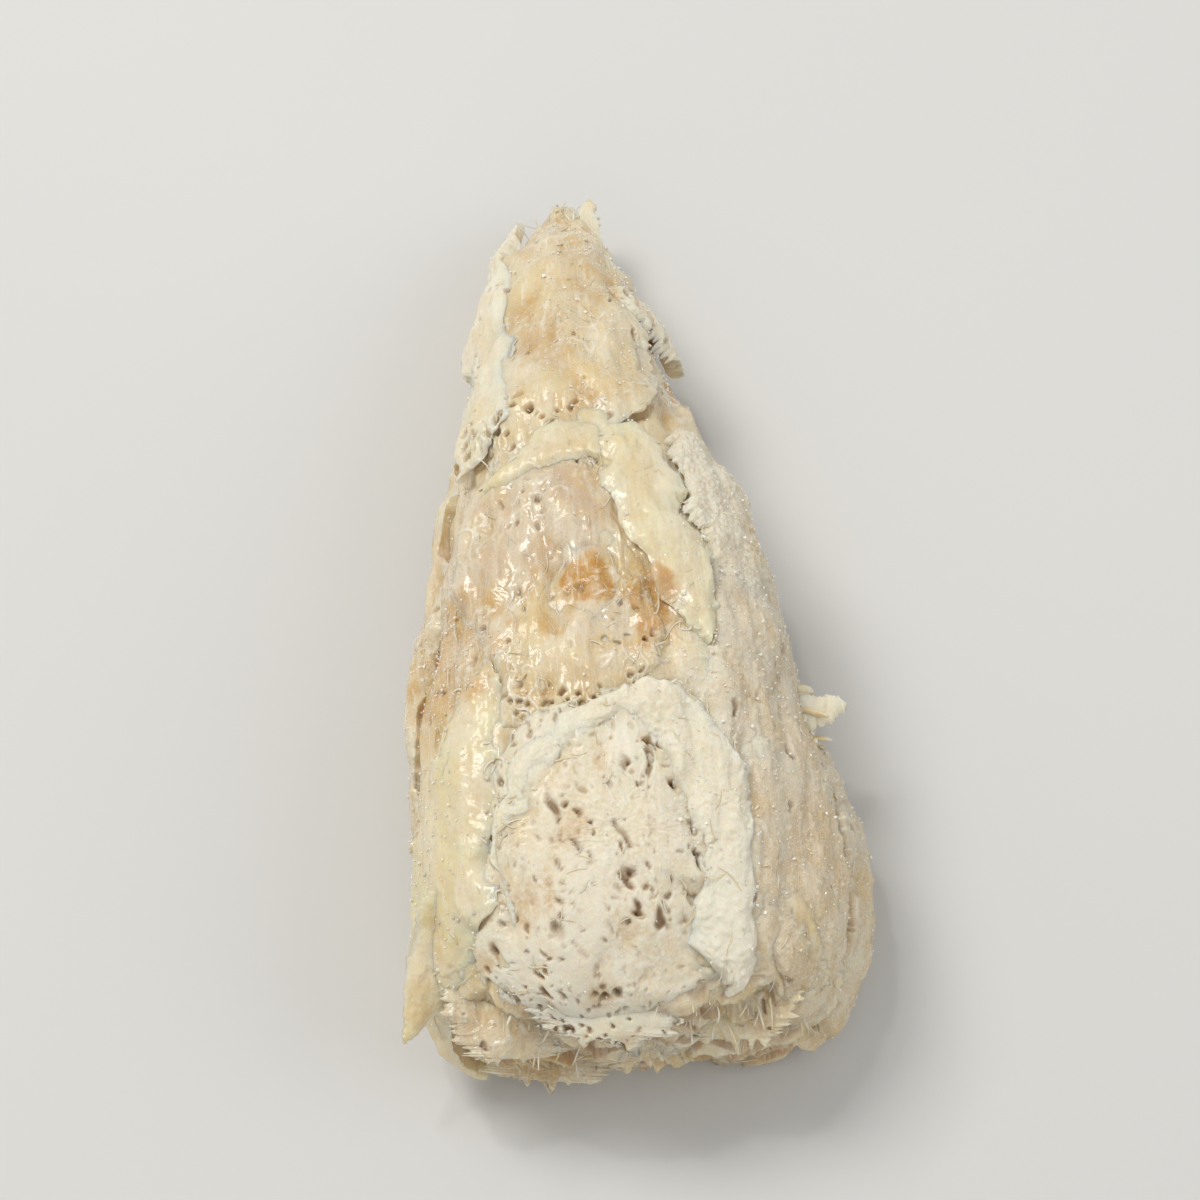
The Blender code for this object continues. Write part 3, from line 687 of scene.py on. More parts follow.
# Flakes laid on the body, from the lowest to the uppermost. Each row of a path is y,
# round, left and right half widths and lift, in mm. Then: relief, thickness above, at the
# edge and below, curl, how far the rim is sunk, grid, raggedness, fray, bluntness of both
# tips, finish, and a factor and an addition for each mask. A bed lies under the others.
LAID = {
    "salt_side": dict(
        bed=True, sunk=1.8,
        path=((-49, 20, 9, 7, 0.2), (-40, 20, 12, 9, 0.4), (-30, 19.5, 13, 9, 0.5),
              (-20, 18.5, 13, 9, 0.5), (-10, 17.5, 12, 8.5, 0.5), (0, 16.5, 10, 7.5, 0.4),
              (11, 14, 6, 5, 0.2)),
        relief="salt", top=0.7, edge=0.3, root=3.0, grid=(330, 280), finish="salted",
        tint={"dry": (0.50, 0.03)}),
    "middle_flesh": dict(
        bed=True, sunk=1.8,
        path=((-23, -4, 9, 8, 0.1), (-14, -4.5, 13, 11, 0.3), (-5, -5, 15, 11, 0.4),
              (3, -5.5, 15, 11, 0.4), (14, -5.5, 12, 10, 0.2)),
        relief="middle", top=0.6, edge=0.25, root=3.5, grid=(310, 300), finish="moist"),
    "foam_bed": dict(
        bed=True, sunk=1.8,
        path=((-49.6, -6, 16, 12, 0.4), (-43, -5, 15, 14, 0.7), (-34, -3.5, 13, 13, 0.8),
              (-27, -3, 12, 12, 0.7), (-20.5, -2, 9, 9, 0.5), (-17.5, -2, 5, 5, 0.2)),
        relief="foam", top=0.7, edge=0.3, root=3.5, grid=(330, 300), finish="foamy"),
    "upper_flap": dict(
        path=((8.4, -7.5, 7.0, 5.0, 0.0), (13.0, -5.4, 9.5, 7.5, 0.5), (21, -3.2, 11, 9.5, 0.8),
              (29, -2, 11, 9, 0.7), (37, -1.5, 9, 7.5, 0.5), (46.5, -0.5, 5, 4, 0.2)),
        relief="lacy", top=0.7, edge=0.20, root=2.0, curl=0.15, grid=(300, 240), fray=1.6,
        blunt=(7, 5), ragged=0.5, finish="moist"),
    "ribbon": dict(
        path=((10.2, -16.2, 0.5, 0.5, 1.3), (13.0, -13.6, 2.6, 3.2, 1.3),
              (18, -11.8, 3.9, 3.9, 1.2), (25, -10.4, 3.4, 3.2, 1.2), (32, -8.8, 2.4, 2.2, 1.4),
              (38, -7.8, 1.5, 1.3, 1.5), (42, -7.8, 1.0, 0.9, 1.9), (45.6, -8.4, 0.25, 0.25, 2.4)),
        relief="lacy", top=0.35, edge=0.10, root=1.2, grid=(300, 100), ragged=0.4,
        finish="membrane", tint={"dry": (0.5, 0.40), "amber": (0.5, 0.0)}),
    "yellow_arm": dict(
        path=((6.0, -12.6, 0.5, 0.5, 0.8), (7.9, -9, 1.9, 1.8, 0.9), (9.9, -4.5, 2.3, 2.4, 0.9),
              (10.8, 0, 2.8, 2.8, 0.7), (10.8, 4, 1.8, 1.8, 0.4)),
        relief="smooth", top=0.5, edge=0.12, root=1.8, sunk=0.3, grid=(170, 80), ragged=0.2,
        finish="yellow", tint={"dry": (0.5, 0.1), "pink": (0.3, 0.0)}),
    "yellow_tongue": dict(
        path=((-13.6, 8.0, 0.3, 0.3, 0.8), (-8, 7.0, 2.0, 1.8, 0.9), (-2, 5.4, 3.0, 2.6, 0.9),
              (4, 3.6, 3.9, 3.1, 0.9), (9, 1.8, 4.8, 3.6, 0.9), (14.5, 0.2, 4.4, 3.4, 0.5)),
        relief="smooth", top=0.55, edge=0.12, root=2.2, sunk=0.1, grid=(230, 120), ragged=0.18,
        finish="yellow", tint={"dry": (0.5, 0.1), "pink": (0.3, 0.0)}),
    "shoulder": dict(
        path=((-18, 12.8, 3.0, 4.0, -0.6), (-9, 13.2, 4.4, 4.6, 0.1), (-1, 12.8, 4.6, 5.0, 0.6),
              (6, 11.2, 4.6, 4.8, 0.9), (12.6, 9.3, 3.6, 3.2, 0.7)),
        relief="salt", top=1.0, edge=0.2, root=3.0, sunk=0.3, grid=(260, 150), ragged=0.7,
        finish="salted", tint={"dry": (0.8, 0.25)}),
    "arch": dict(
        path=((-40, -12.6, 0.6, 0.6, 0.5), (-33, -11.6, 1.3, 1.1, 0.8),
              (-26, -10.0, 1.9, 1.5, 0.8), (-21.6, -4.6, 2.0, 1.7, 0.9),
              (-20.2, 1.2, 2.2, 2.0, 0.9), (-23, 6.2, 2.9, 2.6, 0.9), (-30, 8.4, 4.2, 3.2, 0.8),
              (-39, 9.0, 4.4, 3.5, 0.7), (-46.5, 9.0, 3.2, 3.0, 0.6)),
        relief="salt", top=0.75, edge=0.10, root=2.2, sunk=0.7, grid=(420, 90), ragged=0.5,
        blunt=(5, 14), fray=1.8, finish="foamy",
        tint={"dry": (0.2, 0.8), "amber": (0.2, 0.0), "pink": (0.3, 0.0)}),
    "left_flap": dict(
        path=((-46.6, -29.0, 0.3, 0.3, 1.3), (-44, -26.8, 2.6, 3.2, 1.2),
              (-40, -23.5, 4.4, 6.2, 1.0), (-34, -20.8, 5.8, 8.0, 0.9),
              (-27, -18.6, 6.4, 7.4, 0.9), (-21, -16.6, 5.6, 6.0, 0.8), (-14.5, -14.5, 3, 3.6, 0.4)),
        relief="smooth", top=0.7, edge=0.14, root=2.5, curl=0.1, grid=(320, 180), ragged=0.45,
        finish="yellow", tint={"dry": (0.5, 0.12), "pink": (0.2, 0.0)}),
    "belly": dict(
        path=((-46.5, 31, 4, 4, 0.0), (-38, 31, 7, 7, 1.0), (-27, 31, 7.5, 7, 1.2),
              (-14, 30, 4, 4, 0.2)),
        relief="salt", top=2.2, edge=0.7, root=4.0, grid=(220, 150), ragged=0.7,
        finish="salted", tint={"dry": (0.7, 0.0), "amber": (0.8, 0.2)}),
    "right_leaf": dict(
        path=((-20, 28.5, 0.6, 0.6, 1.0), (-13, 27.5, 3.8, 3.8, 1.1), (-2, 26.5, 4.8, 4.6, 1.1),
              (10, 23.5, 2.6, 2.6, 0.5)),
        relief="flesh", top=0.8, edge=0.25, root=2.5, curl=0.2, grid=(200, 110), ragged=0.5,
        finish="moist"),
    "left_leaf": dict(
        path=((-21, -29, 0.8, 0.8, 1.0), (-8, -28, 4.8, 4.6, 1.2), (5, -26.5, 4.8, 4.6, 1.2),
              (19, -23.0, 2, 2, 0.6)),
        relief="flesh", top=0.8, edge=0.22, root=2.5, curl=0.1, grid=(240, 120), ragged=0.5,
        finish="moist"),
    "left_under": dict(
        path=((-43, -36, 1.0, 1.0, 0.4), (-36, -36.5, 4.2, 4.0, 1.0), (-24, -36.5, 4.6, 4.2, 1.0),
              (-10, -33.5, 2.0, 2.0, 0.4)),
        relief="flesh", top=1.2, edge=0.4, root=2.5, curl=0.3, grid=(220, 110), ragged=0.5,
        finish="moist", tint={"amber": (0.8, 0.2)}),
    "webbing": dict(
        path=((32.5, 2.5, 2.5, 2.5, 0.9), (29.5, 7.5, 2.8, 2.6, 1.4), (26.5, 11.5, 1.9, 1.9, 1.9),
              (24.8, 14.5, 0.3, 0.3, 2.2)),
        relief="foam", top=0.4, edge=0.25, root=1.2, curl=0.2, grid=(150, 110), ragged=0.7,
        finish="membrane", tint={"dry": (0.3, 0.6)}),
}

# Flakes that stick out of the torn ends and sides. Each row of a path is x, y, z and half
# width in mm. Then: relief, thickness above, at the edge and below, roll, grid, finish.
FREE = {
    "near_leaf_top": dict(
        path=((-2, -38, 20.5, 7.5), (-2.5, -46, 18.6, 8.0), (-3, -50.2, 16.2, 6.0)),
        relief="foam", top=0.9, edge=0.4, root=1.6, roll=0, grid=(150, 150), finish="foamy"),
    "near_leaf_right": dict(
        path=((9, -38, 16.5, 6.5), (9.5, -46, 14.6, 6.5), (9.5, -50.0, 12.8, 4.5)),
        relief="flesh", top=0.9, edge=0.4, root=1.5, roll=14, grid=(150, 140), finish="moist"),
    "near_leaf_left": dict(
        path=((-10, -38, 15.0, 6.5), (-11.5, -46, 13.4, 6.5), (-12, -50.0, 11.6, 4.5)),
        relief="flesh", top=0.9, edge=0.4, root=1.5, roll=-12, grid=(150, 140), finish="moist"),
    "near_leaf_middle": dict(
        path=((2, -38, 11.5, 7.5), (2, -46, 10.2, 8.0), (2.5, -49.8, 8.8, 6.0)),
        relief="flesh", top=0.9, edge=0.4, root=1.5, roll=4, grid=(150, 150), finish="moist"),
    "near_leaf_low": dict(
        path=((-8, -38, 6.8, 7.5), (-8.5, -46, 5.6, 7.8), (-9, -50.0, 4.4, 5.6)),
        relief="flesh", top=0.9, edge=0.4, root=1.2, roll=-6, grid=(150, 150), finish="moist"),
    "flap_tip": dict(
        path=((-15.5, -35, 18.2, 4.4), (-18.6, -41.5, 15.6, 3.2), (-22.2, -48.0, 12.6, 0.4)),
        relief="smooth", top=0.5, edge=0.14, root=0.9, roll=-34, ragged=0.25, fray=0.5,
        grid=(110, 80), finish="yellow"),
    "tuft_root": dict(
        path=((15.0, -16.8, 15.5, 2.3), (19.5, -16.6, 14.6, 2.0), (23.6, -15.4, 13.6, 0.7)),
        tint={"dry": (0.2, 0.8), "amber": (0.2, 0.0)},
        relief="smooth", top=0.7, edge=0.25, root=0.9, roll=0, ragged=0.4, fray=1.0, grid=(90, 60),
        finish="membrane"),
    "far_strand": dict(
        path=((0.6, 38, 8.4, 2.4), (1.6, 44, 7.9, 1.7), (2.4, 49.2, 7.0, 0.4)), fray=0.5,
        relief="smooth", top=0.6, edge=0.3, root=0.7, roll=0, ragged=0.3, grid=(80, 44), finish="membrane"),
}


# ---------------------------------------------------------------- fibres and grains


def laid_fibres(form, y, round_, heading, length, radius, start, finish, wander, seed,
                flatness=0.8, rings=8, sides=5):
    """Many thin fibres on the body. Each starts at y and round_, walks over the body by
    its heading, which drifts as a sine of the way gone, and goes from the height start
    over whatever covers the body there to the height finish."""
    rng = np.random.default_rng(seed)
    count = len(y)
    way = np.linspace(0, 1, rings)[None, :]
    sway = wander * np.sin(way * rng.uniform(2, 6, (count, 1)) + rng.uniform(0, 6.3, (count, 1)))
    angle = heading[:, None] + sway
    step = length[:, None] / (rings - 1)
    ys = y[:, None] + np.cumsum(np.cos(angle) * step, 1)
    rounds = round_[:, None] + np.cumsum(np.sin(angle) * step, 1)
    base, up = form.at(ys, rounds)
    ground = form.covered(ys, rounds)
    ground = 0.5 * ground + 0.5 * ground.mean(1, keepdims=True)
    height = ground + start[:, None] * (1 - way) + finish[:, None] * way**1.5
    return fibre_tubes(base + up * height[..., None], up, radius, flatness, sides)


def open_fibres(form, y, round_, aim, length, radius, seed, flatness=0.7, rings=7, sides=6):
    """Many thin fibres that leave the body at y and round_ and run out along aim, each
    turned a little from it and bent as a parabola of the way gone."""
    rng = np.random.default_rng(seed)
    count = len(y)
    way = np.linspace(0, 1, rings)[None, :, None]
    base, up = form.at(y, round_)
    aim = unit(np.asarray(aim, float) + rng.normal(0, 0.28, (count, 3)))
    bend = rng.normal(0, 0.25, (count, 3))
    path = aim[:, None] * way + bend[:, None] * way**2
    start = base + up * (form.covered(y, round_) - 0.5)[:, None]
    centre = start[:, None] + path * length[:, None, None]
    return fibre_tubes(centre, np.broadcast_to(up[:, None], centre.shape), radius, flatness, sides)


def fibre_tubes(centre, up, radius, flatness, sides):
    """Thin flattened tubes round many courses, thickest before the middle of each."""
    centre[..., 2] = np.maximum(centre[..., 2], 0.35)
    way = np.linspace(0, 1, centre.shape[1])[None, :]
    course = unit(np.gradient(centre, axis=1))
    beside = unit(np.cross(course, up))
    rise = np.cross(beside, course)
    swell = radius[:, None] * (0.25 + 0.75 * np.sqrt(np.sin(np.pi * (0.06 + 0.9 * way))))
    turn = np.linspace(0, 2 * np.pi, sides, endpoint=False)
    ring = (
        centre[:, :, None]
        + beside[:, :, None] * (swell[..., None] * np.cos(turn))[..., None]
        + rise[:, :, None] * (flatness * swell[..., None] * np.sin(turn))[..., None]
    )
    return tubes_from(ring)


def tubes_from(ring):
    """Points and faces of many capped tubes, from count x rings x sides points."""
    count, rings, sides = ring.shape[:3]
    each = rings * sides + 2
    ends = np.stack((ring[:, 0].mean(1), ring[:, -1].mean(1)), 1)
    points = np.concatenate((ring.reshape(count, -1, 3), ends), 1).reshape(-1, 3)
    i, j = np.meshgrid(np.arange(rings - 1), np.arange(sides), indexing="ij")
    k = (j + 1) % sides
    quad = np.stack((i * sides + k, i * sides + j, (i + 1) * sides + j, (i + 1) * sides + k), -1)
    around = np.arange(sides)
    onward = (around + 1) % sides
    top = (rings - 1) * sides
    cap = np.concatenate(
        (
            np.stack((around, onward, np.full(sides, rings * sides)), -1),
            np.stack((top + onward, top + around, np.full(sides, rings * sides + 1)), -1),
        )
    )
    shift = (np.arange(count) * each)[:, None, None]
    quads = (quad.reshape(1, -1, 4) + shift).reshape(-1, 4)
    caps = (cap[None] + shift).reshape(-1, 3)
    a, b, c = points[quads[:, 0]], points[quads[:, 1]], points[quads[:, 2]]
    middle = ring.mean((1, 2))[np.repeat(np.arange(count), len(quad.reshape(-1, 4)))]
    if np.einsum("ij,ij->i", a - middle, np.cross(b - a, c - a)).sum() < 0:
        quads, caps = quads[:, ::-1], caps[:, ::-1]
    return points, quads, caps


def grain_mesh(form, y, round_, size, seed, sunk=0.25):
    """Many salt crystals as one set of cubes, each turned at random, stretched, and
    pulled out of true at its corners, partly sunk into what covers the body."""
    rng = np.random.default_rng(seed)
    count = len(y)
    base, up = form.at(y, round_)
    centre = base + up * (form.covered(y, round_) + size * (0.5 - sunk))[:, None]
    centre[..., 2] = np.maximum(centre[..., 2], size)
    frame_ = np.linalg.qr(rng.normal(size=(count, 3, 3)))[0]
    corner = np.stack(np.meshgrid((-1, 1), (-1, 1), (-1, 1), indexing="ij"), -1).reshape(8, 3)
    local = corner[None] * rng.uniform(0.55, 1.25, (count, 1, 3)) * 0.5
    local = local * rng.uniform(0.75, 1.1, (count, 8, 1)) * size[:, None, None]
    points = centre[:, None] + np.einsum("nij,nkj->nki", frame_, local)
    faces = np.array(((0, 1, 3, 2), (4, 6, 7, 5), (0, 4, 5, 1), (2, 3, 7, 6), (0, 2, 6, 4), (1, 5, 7, 3)))
    mirrored = np.linalg.det(frame_) < 0
    quads = faces[None] + (np.arange(count) * 8)[:, None, None]
    quads = np.where(mirrored[:, None, None], quads[..., ::-1], quads)
    return points.reshape(-1, 3), quads.reshape(-1, 4)


def scatter(form, count, density, seed, low=(-47, -34), high=(48, 34)):
    """Random spots on the body, kept where a random number is under the density, which
    takes points in mm, until there are count of them."""
    rng = np.random.default_rng(seed)
    y = rng.uniform(low[0], high[0], count * 14)
    round_ = rng.uniform(low[1], high[1], count * 14)
    limit = np.where(round_ > 0, np.interp(y, form.y, form.right), np.interp(y, form.y, form.left))
    points = form.at(y, round_)[0]
    keep = (np.abs(round_) < limit * 0.97) & (rng.uniform(0, 1, len(y)) < density(points))
    y, round_ = y[keep][:count], round_[keep][:count]
    return y, round_, rng


# ---------------------------------------------------------------- finishes


def shade(red, green, blue):
    """A display colour, 0 to 255, as the linear colour that the shaders take."""
    share = np.array((red, green, blue)) / 255.0
    linear = np.where(share <= 0.04045, share / 12.92, ((share + 0.055) / 1.055) ** 2.4)
    return tuple(float(value) for value in linear)


class Desk:
    """Adds nodes to one node tree and joins them up."""

    def __init__(self, tree):
        self.tree = tree

    def feed(self, socket, value):
        """Links a socket to value, or sets it to value if that is a number or colour."""
        if isinstance(value, bpy.types.NodeSocket):
            self.tree.links.new(value, socket)
        elif socket.type == "RGBA" and len(value) == 3:
            socket.default_value = (*value, 1.0)
        else:
            socket.default_value = value

    def add(self, kind, values=(), **settings):
        """A node with its settings, and its inputs fed by name or number."""
        node = self.tree.nodes.new(kind)
        for key, value in settings.items():
            setattr(node, key, value)
        for key, value in dict(values).items():
            self.feed(node.inputs[key], value)
        return node

    def maths(self, operation, first, second=0.0):
        """The result of one sum."""
        node = self.add("ShaderNodeMath", {0: first, 1: second}, operation=operation)
        node.use_clamp = operation in {"MULTIPLY_ADD", "ADD"}
        return node.outputs[0]

    def mix(self, share, first, second):
        """The first colour with a share of the second over it."""
        node = self.add("ShaderNodeMix", {0: share, 6: first, 7: second}, data_type="RGBA")
        return node.outputs[2]

    def grain(self, place, scale, detail=2.0, rough=0.55):
        """Noise of so many grains to the metre, at a place."""
        values = {"Vector": place, "Scale": scale, "Detail": detail, "Roughness": rough}
        return self.add("ShaderNodeTexNoise", values).outputs["Fac"]

    def stretch(self, value, low, high, floor=0.0, ceiling=1.0):
        """The value from low to high spread smoothly over floor to ceiling."""
        values = {0: value, 1: low, 2: high, 3: floor, 4: ceiling}
        node = self.add("ShaderNodeMapRange", values, interpolation_type="SMOOTHSTEP")
        return node.outputs[0]

    def mask(self, name):
        """One of the masks that are stored on the mesh."""
        node = self.add("ShaderNodeAttribute", attribute_name=name, attribute_type="GEOMETRY")
        return node.outputs["Fac"]


def flesh_tones():
    """The shared look of salted flesh: cream with paler and deeper patches, amber and
    pink where the masks say so, the amber mask also holding painted shade in hollows and
    beside the rims of upper flakes, salt that catches on the fine grain, white threads
    along the muscle, and painted shade in crevice brown in the torn pores, seams and creases."""
    name = "salted_flesh_tones"
    if name in bpy.data.node_groups:
        return bpy.data.node_groups[name]
    group = bpy.data.node_groups.new(name, "ShaderNodeTree")
    for label in ("Flesh", "Second", "Deep", "Salt", "Amber", "Rich", "Pink"):
        group.interface.new_socket(label, in_out="INPUT", socket_type="NodeSocketColor")
    for label in ("Moisture", "Threads", "Crust"):
        group.interface.new_socket(label, in_out="INPUT", socket_type="NodeSocketFloat")
    group.interface.new_socket("Color", in_out="OUTPUT", socket_type="NodeSocketColor")
    for label in ("Roughness", "Coat"):
        group.interface.new_socket(label, in_out="OUTPUT", socket_type="NodeSocketFloat")
    group.interface.new_socket("Normal", in_out="OUTPUT", socket_type="NodeSocketVector")

    desk = Desk(group)
    given = desk.add("NodeGroupInput").outputs
    place = desk.add("ShaderNodeTexCoord").outputs["Object"]
    along = desk.add("ShaderNodeMapping", {"Vector": place, "Scale": (1.0, 0.11, 1.0)}).outputs[0]
    patch = desk.grain(place, 130.0, 3.0)
    blotch = desk.grain(place, 470.0, 4.0)
    slow = desk.add("ShaderNodeMapping", {"Vector": place, "Scale": (1.0, 0.38, 1.0)}).outputs[0]
    film = desk.grain(slow, 340.0, 6.0, 0.66)
    fine = desk.grain(place, 2300.0, 3.0)
    speck = desk.grain(place, 5600.0, 1.0)
    thread = desk.grain(along, 1700.0, 3.0, 0.6)
    strand = desk.grain(along, 4200.0, 2.0, 0.6)

    colour = desk.mix(desk.stretch(patch, 0.40, 0.62), given["Flesh"], given["Second"])
    amber = desk.maths("MULTIPLY", desk.mask("amber"), desk.stretch(blotch, 0.30, 0.62, 0.45, 1.0))
    colour = desk.mix(amber, colour, given["Amber"])
    pink = desk.maths("MULTIPLY", desk.mask("pink"), desk.stretch(blotch, 0.62, 0.38, 0.35, 0.9))
    colour = desk.mix(pink, colour, given["Pink"])
    caught = desk.maths("MULTIPLY", desk.mask("dry"), desk.stretch(fine, 0.38, 0.60, 0.55, 1.0))
    colour = desk.mix(caught, colour, given["Salt"])
    veil = desk.stretch(film, 0.46, 0.57)
    colour = desk.mix(desk.maths("MULTIPLY", veil, 0.32), colour, given["Salt"])
    # The rich amber follows the amber mask, so it is partly painted shade in the deepest hollows and beside
    # rims.
    burnt = desk.stretch(desk.mask("amber"), 0.55, 0.95, 0.0, 0.85)
    colour = desk.mix(desk.maths("MULTIPLY", burnt, desk.stretch(blotch, 0.3, 0.6, 0.4, 1.0)), colour,
                      given["Rich"])
    white = desk.maths("MULTIPLY", given["Threads"], desk.stretch(thread, 0.54, 0.68))
    colour = desk.mix(white, colour, given["Salt"])
    shadow = desk.maths("MULTIPLY", given["Threads"], desk.stretch(strand, 0.46, 0.34, 0.0, 0.4))
    colour = desk.mix(shadow, colour, given["Second"])
    crest = desk.maths("MULTIPLY", desk.mask("crest"), desk.stretch(fine, 0.35, 0.58, 0.35, 0.8))
    colour = desk.mix(crest, colour, given["Salt"])
    crystals = desk.maths("MULTIPLY", given["Crust"], desk.stretch(speck, 0.55, 0.66))
    colour = desk.mix(crystals, colour, given["Salt"])
    rim = desk.maths("MULTIPLY", desk.mask("thin"), 0.30)
    colour = desk.mix(rim, colour, given["Salt"])
    # Painted shade: the pit mask darkens torn pores, seams and creases towards crevice brown.
    colour = desk.mix(desk.maths("MULTIPLY", desk.mask("pit"), 0.85), colour, given["Deep"])

    dull = desk.maths("MULTIPLY", desk.mask("dry"), 0.30)
    rough = desk.maths("ADD", dull, desk.stretch(blotch, 0.35, 0.65, 0.30, 0.50))
    wet = desk.maths("MULTIPLY", given["Moisture"], desk.stretch(patch, 0.40, 0.60, 0.35, 1.0))
    coat = desk.maths("MULTIPLY", wet, desk.stretch(desk.mask("dry"), 0.9, 0.3, 0.15, 1.0))

    body = desk.add("ShaderNodeMath", {0: thread, 1: 0.55, 2: desk.maths("MULTIPLY", fine, 0.4)},
                    operation="MULTIPLY_ADD").outputs[0]
    grit = desk.maths("MULTIPLY", desk.stretch(speck, 0.5, 0.7), given["Crust"])
    body = desk.add("ShaderNodeMath", {0: veil, 1: 0.25, 2: body}, operation="MULTIPLY_ADD").outputs[0]
    height = desk.add("ShaderNodeMath", {0: grit, 1: 0.5, 2: body}, operation="MULTIPLY_ADD")
    bump = desk.add("ShaderNodeBump", {"Height": height.outputs[0], "Strength": 0.55,
                                       "Distance": 0.0003})
    result = desk.add("NodeGroupOutput")
    desk.feed(result.inputs["Color"], colour)
    desk.feed(result.inputs["Roughness"], rough)
    desk.feed(result.inputs["Coat"], coat)
    desk.feed(result.inputs["Normal"], bump.outputs["Normal"])
    return group


# Each finish: which tints take the place of the flesh and second colours, then moisture,
# threads, crust and how far light goes into it, from 0 to 1.
FINISHES = {
    "moist": ("flesh", "second", 0.90, 0.45, 0.30, 0.42),
    "yellow": ("yellow", "flesh", 0.60, 0.25, 0.15, 0.55),
    "membrane": ("salt", "flesh", 0.65, 0.50, 0.15, 0.50),
    "foamy": ("salt", "flesh", 0.45, 0.40, 0.25, 0.40),
    "salted": ("grey", "second", 0.35, 0.30, 0.75, 0.30),
}


def finish_material(name):
    """The material of a named finish, made once."""
    label = "cod_" + name
    if label in bpy.data.materials:
        return bpy.data.materials[label]
    tints = bpy.context.scene.cod_colours
    first, second, moisture, threads, crust, depth = FINISHES[name]
    material = bpy.data.materials.new(label)
    material.use_nodes = True
    desk = Desk(material.node_tree)
    shader = material.node_tree.nodes["Principled BSDF"]
    tones = desk.add("ShaderNodeGroup", node_tree=flesh_tones())
    colours = {"Flesh": first, "Second": second, "Deep": "crevice_shade", "Salt": "salt",
               "Amber": "amber", "Rich": "rich", "Pink": "pink"}
    for socket, tint in colours.items():
        desk.feed(tones.inputs[socket], tuple(getattr(tints, tint)))
    desk.feed(tones.inputs["Moisture"], moisture)
    desk.feed(tones.inputs["Threads"], threads)
    desk.feed(tones.inputs["Crust"], crust)
    desk.feed(shader.inputs["Base Color"], tones.outputs["Color"])
    desk.feed(shader.inputs["Roughness"], tones.outputs["Roughness"])
    desk.feed(shader.inputs["Coat Weight"], tones.outputs["Coat"])
    desk.feed(shader.inputs["Normal"], tones.outputs["Normal"])
    shader.inputs["IOR"].default_value = 1.42
    shader.inputs["Coat Roughness"].default_value = 0.13
    shader.inputs["Subsurface Weight"].default_value = depth
    shader.inputs["Subsurface Radius"].default_value = (1.0, 0.66, 0.38)
    shader.inputs["Subsurface Scale"].default_value = 0.0022
    return material


def plain_material(label, low, high, scale, rough, depth):
    """A pale two-tone material for fibres and crystals: two colours patched by noise,
    with a faint grain."""
    if label in bpy.data.materials:
        return bpy.data.materials[label]
    material = bpy.data.materials.new(label)
    material.use_nodes = True
    desk = Desk(material.node_tree)
    shader = material.node_tree.nodes["Principled BSDF"]
    place = desk.add("ShaderNodeTexCoord").outputs["Object"]
    patch = desk.grain(place, scale, 2.0)
    desk.feed(shader.inputs["Base Color"], desk.mix(desk.stretch(patch, 0.4, 0.6), low, high))
    desk.feed(shader.inputs["Roughness"], desk.stretch(patch, 0.3, 0.7, rough, rough + 0.2))
    bump = desk.add("ShaderNodeBump", {"Height": desk.grain(place, scale * 8), "Strength": 0.25,
                                       "Distance": 0.0001})
    desk.feed(shader.inputs["Normal"], bump.outputs["Normal"])
    shader.inputs["Subsurface Weight"].default_value = depth
    shader.inputs["Subsurface Radius"].default_value = (1.0, 0.75, 0.5)
    shader.inputs["Subsurface Scale"].default_value = 0.001
    return material


# ---------------------------------------------------------------- the pieces


